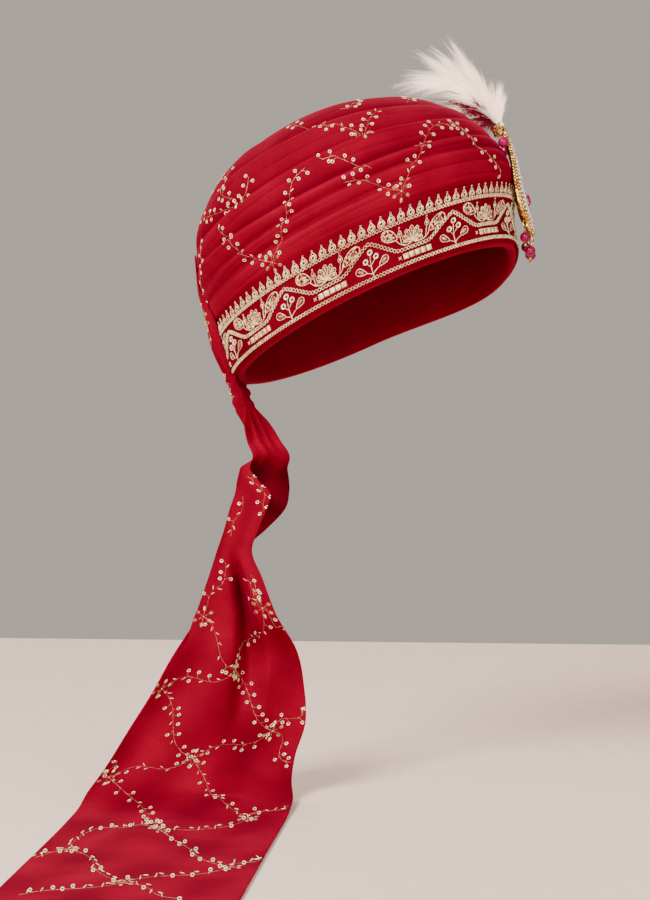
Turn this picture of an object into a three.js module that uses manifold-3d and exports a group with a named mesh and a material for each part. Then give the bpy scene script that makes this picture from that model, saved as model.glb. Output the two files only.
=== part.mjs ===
// A ready-tied turban (pagri): a pleated velvet crown, an embroidered border band round the rim,
// a long tail that is gathered at the nape, and a feathered turban jewel at the front.
// Millimetres, +Z up, +X to the wearer's front, +Y to the wearer's left.
// The origin is the middle of the rim's opening, where the head goes in.
import * as THREE from 'three';
import { mergeVertices } from 'three/addons/utils/BufferGeometryUtils.js';
import Module from 'manifold-3d';

const wasm = await Module();
wasm.setup();
const { degToRad, lerp, clamp, smoothstep } = THREE.MathUtils;

// Driving dimensions of the cap, with its lean on the head in degrees
const LEAN = { back: 26, left: 12 };
const RIM = { halfLength: 112.5, halfWidth: 94.5, dip: 10, dipAt: 40, dipReach: 55 };
const DOME = { base: 57, rise: 94, halfLength: 119.5, halfWidth: 102, forward: 13 };
const WALL = { wound: 6, band: 2, tail: 1.2, gap: 0.3 };
const BAND = { top: 40, rows: 3, lap: 1 };
const FACETS_ROUND = 56;
// Drops of the inner wall's loops below the crown's top
const INNER_DROPS = [4, 18, 42];

// Each wound fold: the height of its crest over the rim at back, sides and front, and its depth
const PLEATS = [
  { back: 52, side: 54, front: 52, depth: 1.6 },
  { back: 61, side: 66, front: 62, depth: 2.2 },
  { back: 78, side: 76, front: 73, depth: 3.2 },
  { back: 91, side: 97, front: 89, depth: 3.6 },
  { back: 112, side: 121, front: 104, depth: 3.4 },
  { back: 132, side: 138, front: 126, depth: 2.2 },
];
// How far each fold tucks under the next, its lift at valley, crest and middle, how its depth
// wanders round the crown, and how it flattens under the tail, by the cosine of the turn
const TUCK = 3.4;
const FOLD_LIFT = { valley: -0.5, crest: 0.6, middle: 0.25 };
const WANDER = { share: 0.25, waves: 3, step: 2 };
const FLATTEN = { share: 0.85, from: 0.72, to: 0.94 };

// Tail on the crown's back: height over the rim, half the angle it covers, how far it stands off
const TAIL_ON_CAP = [
  { rise: 92, spread: 15, lift: 2.4, fold: 0.3 },
  { rise: 70, spread: 17, lift: 2.6, fold: 0.3 },
  { rise: 56, spread: 19, lift: 4.4, fold: 0.4 },
  { rise: 44, spread: 21, lift: 6.8, fold: 0.6 },
  { rise: 28, spread: 22.5, lift: 7.8, fold: 0.8 },
  { rise: 14, spread: 23, lift: 6.6, fold: 1.0 },
  { rise: 4, spread: 20, lift: 5.0, fold: 1.2 },
];
// Tail below the rim: middle of the section, half its width, compass of its width, fold depth
const TAIL_FALL = [
  { x: -95, y: -8, z: -66, half: 12, turn: 282, fold: 3.6 },
  { x: -88, y: -8, z: -79, half: 10, turn: 300, fold: 3.2 },
  { x: -81, y: -7, z: -92, half: 9.5, turn: 322, fold: 3.0 },
  { x: -80, y: -8, z: -110, half: 17, turn: 350, fold: 5.0 },
  { x: -83, y: -9, z: -132, half: 22, turn: 365, fold: 8.0 },
  { x: -93, y: -11, z: -152, half: 20, turn: 372, fold: 8.0 },
  { x: -101, y: -13, z: -171, half: 18, turn: 376, fold: 7.0 },
  { x: -100, y: -16, z: -192, half: 24, turn: 379, fold: 8.0 },
  { x: -101, y: -20, z: -217, half: 33, turn: 381, fold: 9.0 },
  { x: -103, y: -25, z: -242, half: 45, turn: 383, fold: 9.0 },
  { x: -107, y: -31, z: -269, half: 57, turn: 384, fold: 8.0 },
  { x: -114, y: -39, z: -294, half: 66, turn: 384, fold: 6.0 },
  { x: -121, y: -50, z: -317, half: 72, turn: 384, fold: 4.0 },
  { x: -125, y: -66, z: -333, half: 76, turn: 382, fold: 2.6 },
  { x: -126.5, y: -90, z: -341, half: 76, turn: 377, fold: 1.8 },
  { x: -127, y: -126, z: -344, half: 75, turn: 369, fold: 1.2 },
  { x: -127, y: -180, z: -344, half: 74, turn: 363, fold: 1.2 },
  { x: -127.5, y: -250, z: -344, half: 74, turn: 360, fold: 1.2 },
  { x: -128, y: -325, z: -344, half: 74.5, turn: 359, fold: 1.2 },
  { x: -128.5, y: -402, z: -344, half: 75, turn: 358, fold: 0.8 },
];
const TAIL = { stepsEach: 2, across: 12, waves: 1.5, phase: 0.35 };
// Sections this low lie flat, so their folds rise upward
const LYING = { below: -334, rise: 20 };

// Turban jewel: a bent leaf that stands off the crown's front, with its foot cut round
const LEAF = { forward: 135, up: 41, lean: 9, height: 80, halfWidth: 19, thick: 1.2 };
const LEAF_BEND = { radius: 42, sag: 8, sagPower: 3, bow: 12, crest: 0.62 };
const LEAF_CURVE = { least: 0.12, from: 0.04, span: 0.92, skew: 0.62, round: 1.1, corner: 0.35 };
const LEAF_GRID = { rows: 8, columns: 4 };
const RIM_WIRE = { radius: 1.3, sides: 5, steps: 24 };
const PIERCINGS = { rows: 4, across: 0.45, first: 0.24, last: 0.8, radius: 1.7, sides: 6 };
const POST = { radius: 2.5, at: 0.68, length: 3.3, sides: 6 };
const SOCKET = { outer: 4.4, inner: 3.4, foot: 3.5, height: 9, floor: 1, up: 43, back: 5.2, sides: 8 };
const CRYSTALS = { count: 12, radius: 1.9, height: 1.7, facets: 8, inset: 0.7, seat: 1.3 };
const CRYSTAL_WIRE = { radius: 0.7, sides: 4 };
const STONE = { radius: 4.6, height: 2.6, facets: 10, at: 0.34, seat: 1 };
const CUT = { girdle: 0.35, table: 0.6 };

// Small drops: where each hangs, in degrees round the leaf's edge from its foot
const DROP_LUGS = [-38, -13, 12, 36];
const SIDES = [-1, 1];
const LUG = { radius: 1.7, wire: 0.5, off: 2.6 };
const ARM = { reach: 13, knee: 7.8, rise: 43, tip: 41.5, arch: 2, out: -1.5, wire: 0.8, steps: 4 };
const RING = { radius: 2.1, wire: 0.45 };
const PIN = { eye: 1.3, wire: 0.45, tip: 1.2, spare: 2, sides: 6, rings: 4 };
const BEAD = { radius: 3.9, hole: 0.75, sides: 10, rings: 5 };
// Bare length of pin over the bead
const SHANK = { drop: 2.4, top: 0 };
const WIRE_RING = { sides: 5, steps: 10 };
const WIRE_EYE = { sides: 4, steps: 8 };
const WIRE_SEGMENTS = 3;

// Plume: where each lock's tip lies from the root, half its width and how far it bows upward.
// The first locks are the long cream feather, the last four the short dark barbs under it.
const PLUME_ROOT = { across: 0, up: 46.5, out: -5.2 };
const PLUME_LOCKS = [
  { back: -34, left: 6, up: 57, swell: 6.5, bow: 6 },
  { back: -58, left: -9, up: 47, swell: 7.0, bow: 12 },
  { back: -68, left: 7, up: 32, swell: 6.0, bow: 18 },
  { back: -72, left: -12, up: 23, swell: 4.5, bow: 20 },
  { back: -46, left: -20, up: 46, swell: 6.0, bow: 12 },
  { back: -50, left: 18, up: 38, swell: 6.0, bow: 12 },
  { back: -4, left: 9, up: 33, swell: 4.5, bow: 2 },
  { back: 5, left: -7, up: 24, swell: 4.0, bow: 2 },
  { back: -40, left: 8, up: 17, swell: 4.0, bow: 9 },
  { back: -38, left: -10, up: 15, swell: 4.0, bow: 9 },
  { back: -29, left: -20, up: 12, swell: 3.5, bow: 8 },
  { back: -27, left: -4, up: 20, swell: 4.0, bow: 6 },
];
const LOCK = { steps: 7, sides: 6, flat: 0.45, knee: 0.45, start: 0.4, stem: 1, skew: 0.8, round: 0.9 };
const HEAD = { radius: 2.9, sides: 10, rings: 8 };

// Materials, one for each piece
const cloth = (color) => new THREE.MeshStandardMaterial({ color, roughness: 0.85, metalness: 0 });
const gilt = () => new THREE.MeshStandardMaterial({ color: 0xd7a53c, roughness: 0.3, metalness: 1 });
const gem = (color) => new THREE.MeshStandardMaterial({ color, roughness: 0.08, metalness: 0 });

// A closed skin through loops of points: the loops close round, and the ends close to a point
// or, where there is none, onto each other.
function skin(loops, startPoint, endPoint) {
  const around = loops[0].length;
  const points = loops.flat();
  const faces = [];
  const at = (row, column) => row * around + (column % around);
  const lastRow = startPoint ? loops.length - 1 : loops.length;
  for (let row = 0; row < lastRow; row += 1) {
    const next = (row + 1) % loops.length;
    for (let column = 0; column < around; column += 1) {
      const [a, b] = [at(row, column), at(row, column + 1)];
      const [c, d] = [at(next, column + 1), at(next, column)];
      faces.push([a, b, c], [a, c, d]);
    }
  }
  if (startPoint) {
    const first = points.push(startPoint) - 1;
    const last = points.push(endPoint) - 1;
    for (let column = 0; column < around; column += 1) {
      faces.push([first, at(0, column + 1), at(0, column)]);
      faces.push([at(loops.length - 1, column), at(loops.length - 1, column + 1), last]);
    }
  }
  return closedGeometry(points, faces);
}

// A thin sheet through rows of points, with the given thickness shared between its two sides
function sheet(rows, thickness) {
  const [down, across] = [rows.length, rows[0].length];
  const normalAt = (row, column) => {
    const along = rows[Math.min(row + 1, down - 1)][column].clone();
    along.sub(rows[Math.max(row - 1, 0)][column]);
    const side = rows[row][Math.min(column + 1, across - 1)].clone();
    side.sub(rows[row][Math.max(column - 1, 0)]);
    return side.cross(along).normalize();
  };
  const face = (offset) => rows.flatMap((line, row) => line.map((point, column) =>
    point.clone().addScaledVector(normalAt(row, column), offset)));
  const points = [...face(thickness / 2), ...face(-thickness / 2)];
  const at = (row, column, side) => side * down * across + row * across + column;
  const faces = [];
  const quad = (a, b, c, d) => faces.push([a, b, c], [a, c, d]);
  for (let row = 0; row < down - 1; row += 1) {
    for (let column = 0; column < across - 1; column += 1) {
      const corners = [[row, column], [row + 1, column], [row + 1, column + 1], [row, column + 1]];
      quad(...corners.map(([r, c]) => at(r, c, 0)));
      quad(...corners.reverse().map(([r, c]) => at(r, c, 1)));
    }
    quad(at(row, 0, 0), at(row, 0, 1), at(row + 1, 0, 1), at(row + 1, 0, 0));
    const edge = across - 1;
    quad(at(row + 1, edge, 0), at(row + 1, edge, 1), at(row, edge, 1), at(row, edge, 0));
  }
  for (let column = 0; column < across - 1; column += 1) {
    quad(at(0, column + 1, 0), at(0, column + 1, 1), at(0, column, 1), at(0, column, 0));
    const end = down - 1;
    quad(at(end, column, 0), at(end, column, 1), at(end, column + 1, 1), at(end, column + 1, 0));
  }
  return closedGeometry(points, faces);
}

// An indexed geometry whose faces are turned outward
function closedGeometry(points, faces) {
  const volume = faces.reduce((sum, [a, b, c]) =>
    sum + points[a].dot(points[b].clone().cross(points[c])), 0);
  const index = faces.flatMap(([a, b, c]) => (volume > 0 ? [a, b, c] : [a, c, b]));
  const geometry = new THREE.BufferGeometry().setFromPoints(points);
  geometry.setIndex(index);
  geometry.computeVertexNormals();
  return geometry;
}

// Solids for joining and cutting, and back
const WELD = 1e-4;
function solidOf(geometry) {
  const bare = geometry.clone();
  bare.deleteAttribute('normal');
  bare.deleteAttribute('uv');
  const merged = mergeVertices(bare, WELD);
  return new wasm.Manifold(new wasm.Mesh({
    numProp: 3,
    vertProperties: Float32Array.from(merged.attributes.position.array),
    triVerts: Uint32Array.from(merged.index.array),
  }));
}
function geometryOf(solid) {
  const { vertProperties, triVerts } = solid.getMesh();
  const geometry = new THREE.BufferGeometry();
  geometry.setAttribute('position', new THREE.BufferAttribute(vertProperties, 3));
  geometry.setIndex(new THREE.BufferAttribute(triVerts, 1));
  geometry.computeVertexNormals();
  return geometry;
}
function joined(geometries) {
  return geometryOf(geometries.map(solidOf).reduce((whole, piece) => whole.add(piece)));
}
function piece(name, geometry, material) {
  const mesh = new THREE.Mesh(geometry, material);
  mesh.name = name;
  return mesh;
}

// Cap: a point of its skin at a turn from the front by the wearer's left, a height over the rim,
// and a lift out of the skin
function capPoint(turn, height, lift) {
  const grown = smoothstep(height, 0, DOME.base);
  const climb = Math.asin(clamp((height - DOME.base) / DOME.rise, 0, 1));
  const halfLength = lerp(RIM.halfLength, DOME.halfLength, grown);
  const halfWidth = lerp(RIM.halfWidth, DOME.halfWidth, grown);
  const [c, s] = [Math.cos(turn), Math.sin(turn)];
  const level = Math.cos(climb);
  const steep = Math.sin(climb) / DOME.rise;
  const out = new THREE.Vector3((c * level) / halfLength, (s * level) / halfWidth, steep);
  const fromDip = Math.abs(degToRad(RIM.dipAt) - turn) / degToRad(RIM.dipReach);
  const dip = RIM.dip * (1 - smoothstep(fromDip, 0, 1)) * (1 - clamp(height / BAND.top, 0, 1));
  const x = DOME.forward * grown + halfLength * level * c;
  const point = new THREE.Vector3(x, halfWidth * level * s, height - dip);
  return point.addScaledVector(out.normalize(), lift);
}
const turns = Array.from({ length: FACETS_ROUND }, (_, i) =>
  (2 * Math.PI * i) / FACETS_ROUND - Math.PI);
const capLoop = (height, lift) => turns.map((turn) => capPoint(turn, height, lift));

// Height and lift of the crown's folds at one turn, from the band's top upward
function foldRows(turn) {
  const c = Math.cos(turn);
  const crests = PLEATS.map(({ back, side, front }) => lerp(side, c > 0 ? front : back, c * c));
  const rows = [];
  const eased = 1 - FLATTEN.share * smoothstep(-c, FLATTEN.from, FLATTEN.to);
  PLEATS.forEach(({ depth }, k) => {
    const wander = 1 + WANDER.share * Math.sin(WANDER.waves * turn + WANDER.step * k);
    const swing = depth * wander * eased;
    const above = crests[k + 1] ? crests[k + 1] - TUCK : DOME.base + DOME.rise;
    rows.push({ height: crests[k] - TUCK, lift: FOLD_LIFT.valley * swing });
    rows.push({ height: crests[k], lift: FOLD_LIFT.crest * swing });
    rows.push({ height: (crests[k] + above) / 2, lift: FOLD_LIFT.middle * swing });
  });
  return rows;
}
const bandHeights = Array.from({ length: BAND.rows + 1 }, (_, i) => (BAND.top * i) / BAND.rows);
function makeCrown() {
  const underBand = -(WALL.band + WALL.gap);
  const inside = underBand - WALL.wound;
  const top = DOME.base + DOME.rise;
  const innerHeights = [...INNER_DROPS.map((drop) => top - drop), DOME.base, DOME.base / 2, 0];
  const innerLoops = innerHeights.map((height) => capLoop(height, inside));
  const outerLoops = [...bandHeights, BAND.top + BAND.lap].map((height) => capLoop(height, underBand));
  const folded = turns.map(foldRows);
  folded[0].forEach((_, row) => outerLoops.push(turns.map((turn, i) =>
    capPoint(turn, folded[i][row].height, folded[i][row].lift))));
  return skin([...innerLoops, ...outerLoops], capPoint(0, top, inside), capPoint(0, top, 0));
}
function makeBand() {
  const inner = [...bandHeights].reverse().map((height) => capLoop(height, -WALL.band));
  const outer = bandHeights.map((height) => capLoop(height, 0));
  return skin([...inner, ...outer]);
}

const cap = new THREE.Group();
cap.rotation.set(-degToRad(LEAN.left), -degToRad(LEAN.back), 0);
cap.add(piece('crown', makeCrown(), cloth(0xb4001c)));
cap.add(piece('border_band', makeBand(), cloth(0xb4202c)));
cap.updateMatrixWorld();

// Tail: sections down its length, smoothed between the tables' rows
const foldWave = (v) => Math.cos(Math.PI * TAIL.waves * v + TAIL.phase);
function tailSection(row) {
  const line = [];
  for (let i = 0; i <= TAIL.across; i += 1) {
    const v = (2 * i) / TAIL.across - 1;
    if (row.rise === undefined) {
      const turn = degToRad(row.turn);
      const side = new THREE.Vector3(Math.cos(turn), Math.sin(turn), 0);
      const out = new THREE.Vector3(Math.sin(turn), -Math.cos(turn), row.lie);
      const point = new THREE.Vector3(row.x, row.y, row.z).addScaledVector(side, row.half * v);
      line.push(point.addScaledVector(out.normalize(), row.fold * foldWave(v)));
    } else {
      const turn = Math.PI + degToRad(row.spread) * v;
      const point = capPoint(turn, row.rise, row.lift + row.fold * foldWave(v));
      line.push(point.applyMatrix4(cap.matrixWorld));
    }
  }
  return line;
}
function makeTail() {
  const lying = (row) => ({ ...row, lie: row.z < LYING.below ? LYING.rise : 0 });
  const sections = [...TAIL_ON_CAP, ...TAIL_FALL.map(lying)].map(tailSection);
  const columns = sections[0].map((_, i) =>
    new THREE.CatmullRomCurve3(sections.map((line) => line[i])));
  const count = (sections.length - 1) * TAIL.stepsEach;
  const rows = Array.from({ length: count + 1 }, (_, k) =>
    columns.map((curve) => curve.getPoint(k / count)));
  return sheet(rows, WALL.tail);
}

// Turban jewel: half the leaf's width at a height from its foot (0) to its tip (1), and its points
function leafHalf(v) {
  const { least, from, span, skew, round } = LEAF_CURVE;
  return LEAF.halfWidth * (least + Math.sin(Math.PI * (from + span * v) ** skew) ** round);
}
function leafPoint(w, v, out) {
  const x = leafHalf(v) * w;
  const lifted = LEAF_BEND.sag * w * w * (1 - v) ** LEAF_BEND.sagPower;
  const bent = (x * x) / (2 * LEAF_BEND.radius) + LEAF_BEND.bow * (v - LEAF_BEND.crest) ** 2;
  return new THREE.Vector3(x, (v - 0.5) * LEAF.height + lifted, out - bent);
}
// A point of the leaf's edge, at an angle round it from its foot
function leafEdge(angle, scale, out) {
  const [side, height] = [Math.sin(angle), -Math.cos(angle)];
  const across = Math.sign(side) * Math.abs(side) ** LEAF_CURVE.corner;
  return leafPoint(scale * across, (1 + scale * height) / 2, out);
}
const leafOutline = (scale, out, count) => Array.from({ length: count }, (_, i) =>
  leafEdge((2 * Math.PI * i) / count, scale, out));

// A wire of a few sides along a closed run of points
function wireLoop(run, radius, sides) {
  const curve = new THREE.CatmullRomCurve3(run, true);
  const frames = curve.computeFrenetFrames(run.length, true);
  return skin(run.map((_, i) => {
    const middle = curve.getPoint(i / run.length);
    return Array.from({ length: sides }, (__, k) => {
      const angle = (2 * Math.PI * k) / sides;
      const point = middle.clone().addScaledVector(frames.normals[i], radius * Math.cos(angle));
      return point.addScaledVector(frames.binormals[i], radius * Math.sin(angle));
    });
  }));
}
function rod(radius, length, sides, at) {
  const geometry = new THREE.CylinderGeometry(radius, radius, length, sides);
  return geometry.rotateX(Math.PI / 2).translate(at.x, at.y, at.z);
}
function torus({ radius, wire }, { sides, steps }) {
  return new THREE.TorusGeometry(radius, wire, sides, steps);
}
const below = new THREE.Vector3(0, -LUG.off, 0);
const lugAt = (degrees) => leafEdge(degToRad(degrees), 1, 0).add(below);
const armLugAt = (side) => new THREE.Vector3(side * ARM.reach, ARM.tip - LUG.radius, ARM.out);

function makeLeaf() {
  const { rows, columns } = LEAF_GRID;
  const rowAt = (v) => Array.from({ length: columns + 1 }, (_, c) =>
    leafPoint((2 * c) / columns - 1, v, 0));
  const grid = Array.from({ length: rows + 1 }, (_, r) => rowAt(r / rows));
  let leaf = solidOf(sheet(grid, LEAF.thick));
  for (let i = 0; i < PIERCINGS.rows; i += 1) {
    const v = lerp(PIERCINGS.first, PIERCINGS.last, i / (PIERCINGS.rows - 1));
    for (const w of [-PIERCINGS.across, PIERCINGS.across]) {
      const drill = rod(PIERCINGS.radius, LEAF.halfWidth, PIERCINGS.sides, leafPoint(w, v, 0));
      leaf = leaf.subtract(solidOf(drill));
    }
  }
  const rim = wireLoop(leafOutline(1, 0, RIM_WIRE.steps), RIM_WIRE.radius, RIM_WIRE.sides);
  const lugs = [...DROP_LUGS.map(lugAt), ...SIDES.map(armLugAt)].map(({ x, y, z }) =>
    torus(LUG, WIRE_EYE).translate(x, y, z));
  const post = rod(POST.radius, POST.length, POST.sides, leafPoint(0, POST.at, -POST.length / 2));
  const added = [rim, ...lugs, post, makeSocket(), ...SIDES.map(makeArm)];
  return geometryOf(added.map(solidOf).reduce((whole, part) => whole.add(part), leaf));
}
function lathe(profile, sides) {
  return new THREE.LatheGeometry(profile.map(([r, y]) => new THREE.Vector2(r, y)), sides);
}
function makeSocket() {
  const { outer, inner, foot, height, floor } = SOCKET;
  const profile = [[0, 0], [foot, 0], [outer, height], [inner, height], [inner, floor], [0, floor]];
  const cup = lathe(profile, SOCKET.sides);
  return cup.translate(0, SOCKET.up - height / 2, -SOCKET.back);
}
function makeArm(side) {
  const root = new THREE.Vector3(0, ARM.rise, ARM.out);
  const knee = new THREE.Vector3(side * ARM.knee, ARM.rise + ARM.arch, ARM.out);
  const tip = new THREE.Vector3(side * ARM.reach, ARM.tip, ARM.out);
  return wireAlong(new THREE.QuadraticBezierCurve3(root, knee, tip), ARM);
}
function wireAlong(extrudePath, { wire, steps }) {
  const section = new THREE.Shape().absarc(0, 0, wire, 0, 2 * Math.PI);
  return new THREE.ExtrudeGeometry(section, { steps, curveSegments: WIRE_SEGMENTS, extrudePath });
}
// A cut stone: a flat back, a girdle, sloping facets and a table
function cutStone(radius, height, facets) {
  const [girdle, table] = [height * CUT.girdle, radius * CUT.table];
  const profile = [[0, 0], [radius, 0], [radius, girdle], [table, height], [0, height]];
  return lathe(profile, facets).rotateX(Math.PI / 2);
}
function makeCrystals() {
  const run = leafOutline(CRYSTALS.inset, CRYSTALS.seat + CRYSTAL_WIRE.radius, CRYSTALS.count);
  const stones = run.map(({ x, y, z }) => {
    const stone = cutStone(CRYSTALS.radius, CRYSTALS.height, CRYSTALS.facets);
    return stone.translate(x, y, z - CRYSTAL_WIRE.radius);
  });
  return joined([wireLoop(run, CRYSTAL_WIRE.radius, CRYSTAL_WIRE.sides), ...stones]);
}

// Small drops hang straight down from their lugs: a jump ring, a headed pin and a drilled bead
function makePin(shank) {
  const length = 2 * BEAD.radius + PIN.spare + shank;
  const top = -PIN.eye;
  const shaft = new THREE.CylinderGeometry(PIN.wire, PIN.wire, length, PIN.sides);
  shaft.rotateX(Math.PI / 2).translate(0, 0, top - length / 2 + PIN.wire);
  const tip = new THREE.SphereGeometry(PIN.tip, PIN.sides, PIN.rings).translate(0, 0, top - length);
  const eye = torus({ radius: PIN.eye, wire: PIN.wire }, WIRE_EYE).rotateY(Math.PI / 2);
  return joined([eye, shaft, tip]);
}
function makeBead() {
  const start = Math.asin(BEAD.hole / BEAD.radius);
  const profile = Array.from({ length: BEAD.rings + 1 }, (_, i) => {
    const angle = lerp(start, Math.PI - start, i / BEAD.rings);
    return new THREE.Vector2(BEAD.radius * Math.sin(angle), -BEAD.radius * Math.cos(angle));
  });
  return new THREE.LatheGeometry([...profile, profile[0]], BEAD.sides).rotateX(Math.PI / 2);
}
function hangDrop(name, lug, shank, color) {
  const down = (length) => new THREE.Vector3(0, 0, -length);
  const ring = piece(`${name}_ring`, torus(RING, WIRE_RING).rotateX(Math.PI / 2), gilt());
  const pin = piece(`${name}_pin`, makePin(shank), gilt());
  const bead = piece(`${name}_bead`, makeBead(), gem(color));
  ring.position.copy(lug).add(down(RING.radius));
  pin.position.copy(ring.position).add(down(RING.radius));
  bead.position.copy(pin.position).add(down(PIN.eye + PIN.wire + shank + BEAD.radius));
  return [ring, pin, bead];
}

// Plume: flat tapering locks, each curving from the root to its tip, on a round head
function makeLock({ back, left, up, swell, bow }) {
  const tip = new THREE.Vector3(back, left, up);
  const knee = tip.clone().multiplyScalar(LOCK.knee).add(new THREE.Vector3(0, 0, bow));
  const curve = new THREE.QuadraticBezierCurve3(new THREE.Vector3(), knee, tip);
  const flatWay = new THREE.Vector3(-left, back, 0).normalize();
  const loops = Array.from({ length: LOCK.steps }, (_, i) => {
    const t = (i + LOCK.start) / LOCK.steps;
    const width = LOCK.stem + swell * Math.sin(Math.PI * t ** LOCK.skew) ** LOCK.round;
    const thinWay = curve.getTangent(t).cross(flatWay).normalize();
    return Array.from({ length: LOCK.sides }, (__, k) => {
      const angle = (2 * Math.PI * k) / LOCK.sides;
      const point = curve.getPoint(t).addScaledVector(flatWay, width * Math.cos(angle));
      return point.addScaledVector(thinWay, width * LOCK.flat * Math.sin(angle));
    });
  });
  return skin(loops, curve.getPoint(0), curve.getPoint(1));
}
function makePlume() {
  const head = new THREE.SphereGeometry(HEAD.radius, HEAD.sides, HEAD.rings);
  return joined([head, ...PLUME_LOCKS.map(makeLock)]);
}

const jewel = new THREE.Group();
jewel.position.set(LEAF.forward, 0, LEAF.up);
const lean = degToRad(LEAF.lean);
const upLeaf = new THREE.Vector3(Math.sin(lean), 0, Math.cos(lean));
const offLeaf = new THREE.Vector3(Math.cos(lean), 0, -Math.sin(lean));
const leafAxes = new THREE.Matrix4().makeBasis(new THREE.Vector3(0, 1, 0), upLeaf, offLeaf);
jewel.quaternion.setFromRotationMatrix(leafAxes);
jewel.add(piece('kalgi_plate', makeLeaf(), gilt()));
jewel.add(piece('kalgi_crystals', makeCrystals(), gem(0xf0ece6)));
const stoneCut = cutStone(STONE.radius, STONE.height, STONE.facets);
const stone = piece('kalgi_stone', stoneCut, gem(0xd0206a));
stone.position.copy(leafPoint(0, STONE.at, STONE.seat));
jewel.add(stone);
cap.add(jewel);

const pagri = new THREE.Group();
pagri.add(cap);
pagri.updateMatrixWorld(true);
const inWorld = (point) => point.applyMatrix4(jewel.matrixWorld);

pagri.add(piece('tail', makeTail(), cloth(0xb4001c)));
const RUBY = 0xa00a3c;
const PINK = 0xd8386a;
DROP_LUGS.forEach((at, i) => pagri.add(...hangDrop(`drop_${i + 1}`, inWorld(lugAt(at)), SHANK.drop, RUBY)));
SIDES.forEach((side, i) => pagri.add(...hangDrop(`top_${i + 1}`, inWorld(armLugAt(side)), SHANK.top, PINK)));
const plume = piece('plume', makePlume(), cloth(0xf4e6dc));
plume.position.copy(inWorld(new THREE.Vector3(PLUME_ROOT.across, PLUME_ROOT.up, PLUME_ROOT.out)));
pagri.add(plume);

export default pagri;
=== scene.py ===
import math

import bpy
import numpy as np
from mathutils import Matrix, Vector


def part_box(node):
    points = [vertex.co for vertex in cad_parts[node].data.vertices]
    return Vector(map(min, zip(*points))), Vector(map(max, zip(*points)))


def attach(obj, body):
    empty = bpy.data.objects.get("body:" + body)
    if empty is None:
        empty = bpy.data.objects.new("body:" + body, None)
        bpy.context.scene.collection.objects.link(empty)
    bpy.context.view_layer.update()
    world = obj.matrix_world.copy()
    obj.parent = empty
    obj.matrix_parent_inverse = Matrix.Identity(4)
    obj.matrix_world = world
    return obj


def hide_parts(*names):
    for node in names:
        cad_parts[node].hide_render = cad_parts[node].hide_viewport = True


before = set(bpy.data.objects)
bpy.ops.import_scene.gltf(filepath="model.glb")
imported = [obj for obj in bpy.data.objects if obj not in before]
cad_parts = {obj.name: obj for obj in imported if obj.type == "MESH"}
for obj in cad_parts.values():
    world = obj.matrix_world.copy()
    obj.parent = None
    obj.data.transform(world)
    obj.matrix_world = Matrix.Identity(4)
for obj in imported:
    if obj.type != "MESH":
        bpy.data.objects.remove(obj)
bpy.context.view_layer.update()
bpy.ops.object.select_all(action="DESELECT")

MM = 0.001
rng = np.random.default_rng(11)


# Camera at the photograph's viewing angle
CAMERA_TURN = math.radians(5)
CAMERA_PITCH = math.radians(3.14)
CAMERA_BACK, CAMERA_SIDE, CAMERA_UP = 2.101, -0.037, 0.0173
LENS = 116.7

right = Vector((math.cos(CAMERA_TURN), math.sin(CAMERA_TURN), 0))
level = Vector((-math.sin(CAMERA_TURN), math.cos(CAMERA_TURN), 0))
camera_data = bpy.data.cameras.new("camera")
camera_data.lens = LENS
camera_data.sensor_width = 36
camera = bpy.data.objects.new("camera", camera_data)
bpy.context.scene.collection.objects.link(camera)
camera.location = right * CAMERA_SIDE - level * CAMERA_BACK + Vector((0, 0, CAMERA_UP))
ahead = level * math.cos(CAMERA_PITCH) - Vector((0, 0, math.sin(CAMERA_PITCH)))
camera.rotation_euler = ahead.to_track_quat("-Z", "Y").to_euler()
bpy.context.scene.camera = camera


# Shader helpers
def new_material(name):
    material = bpy.data.materials.new(name)
    material.use_nodes = True
    tree = material.node_tree
    return material, tree, tree.nodes["Principled BSDF"]


def add_node(tree, kind, **settings):
    node = tree.nodes.new(kind)
    for key, value in settings.items():
        if key in node.inputs:
            node.inputs[key].default_value = value
        else:
            setattr(node, key, value)
    return node


def noise(tree, scale, detail):
    coords = add_node(tree, "ShaderNodeTexCoord")
    texture = add_node(tree, "ShaderNodeTexNoise", Scale=scale, Detail=detail)
    tree.links.new(coords.outputs["Object"], texture.inputs["Vector"])
    return texture.outputs["Fac"]


def mottled(tree, scale, detail, *stops):
    """A colour that drifts over the surface between two stops of (place, colour)."""
    factor = noise(tree, scale, detail)
    node = add_node(tree, "ShaderNodeValToRGB")
    for element, (place, colour) in zip(node.color_ramp.elements, stops):
        element.position = place
        element.color = (*colour, 1)
    tree.links.new(factor, node.inputs["Fac"])
    return node.outputs["Color"]


def bump(tree, shader, height, strength, distance):
    node = add_node(tree, "ShaderNodeBump", Strength=strength, Distance=distance)
    tree.links.new(height, node.inputs["Height"])
    tree.links.new(node.outputs["Normal"], shader.inputs["Normal"])


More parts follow.
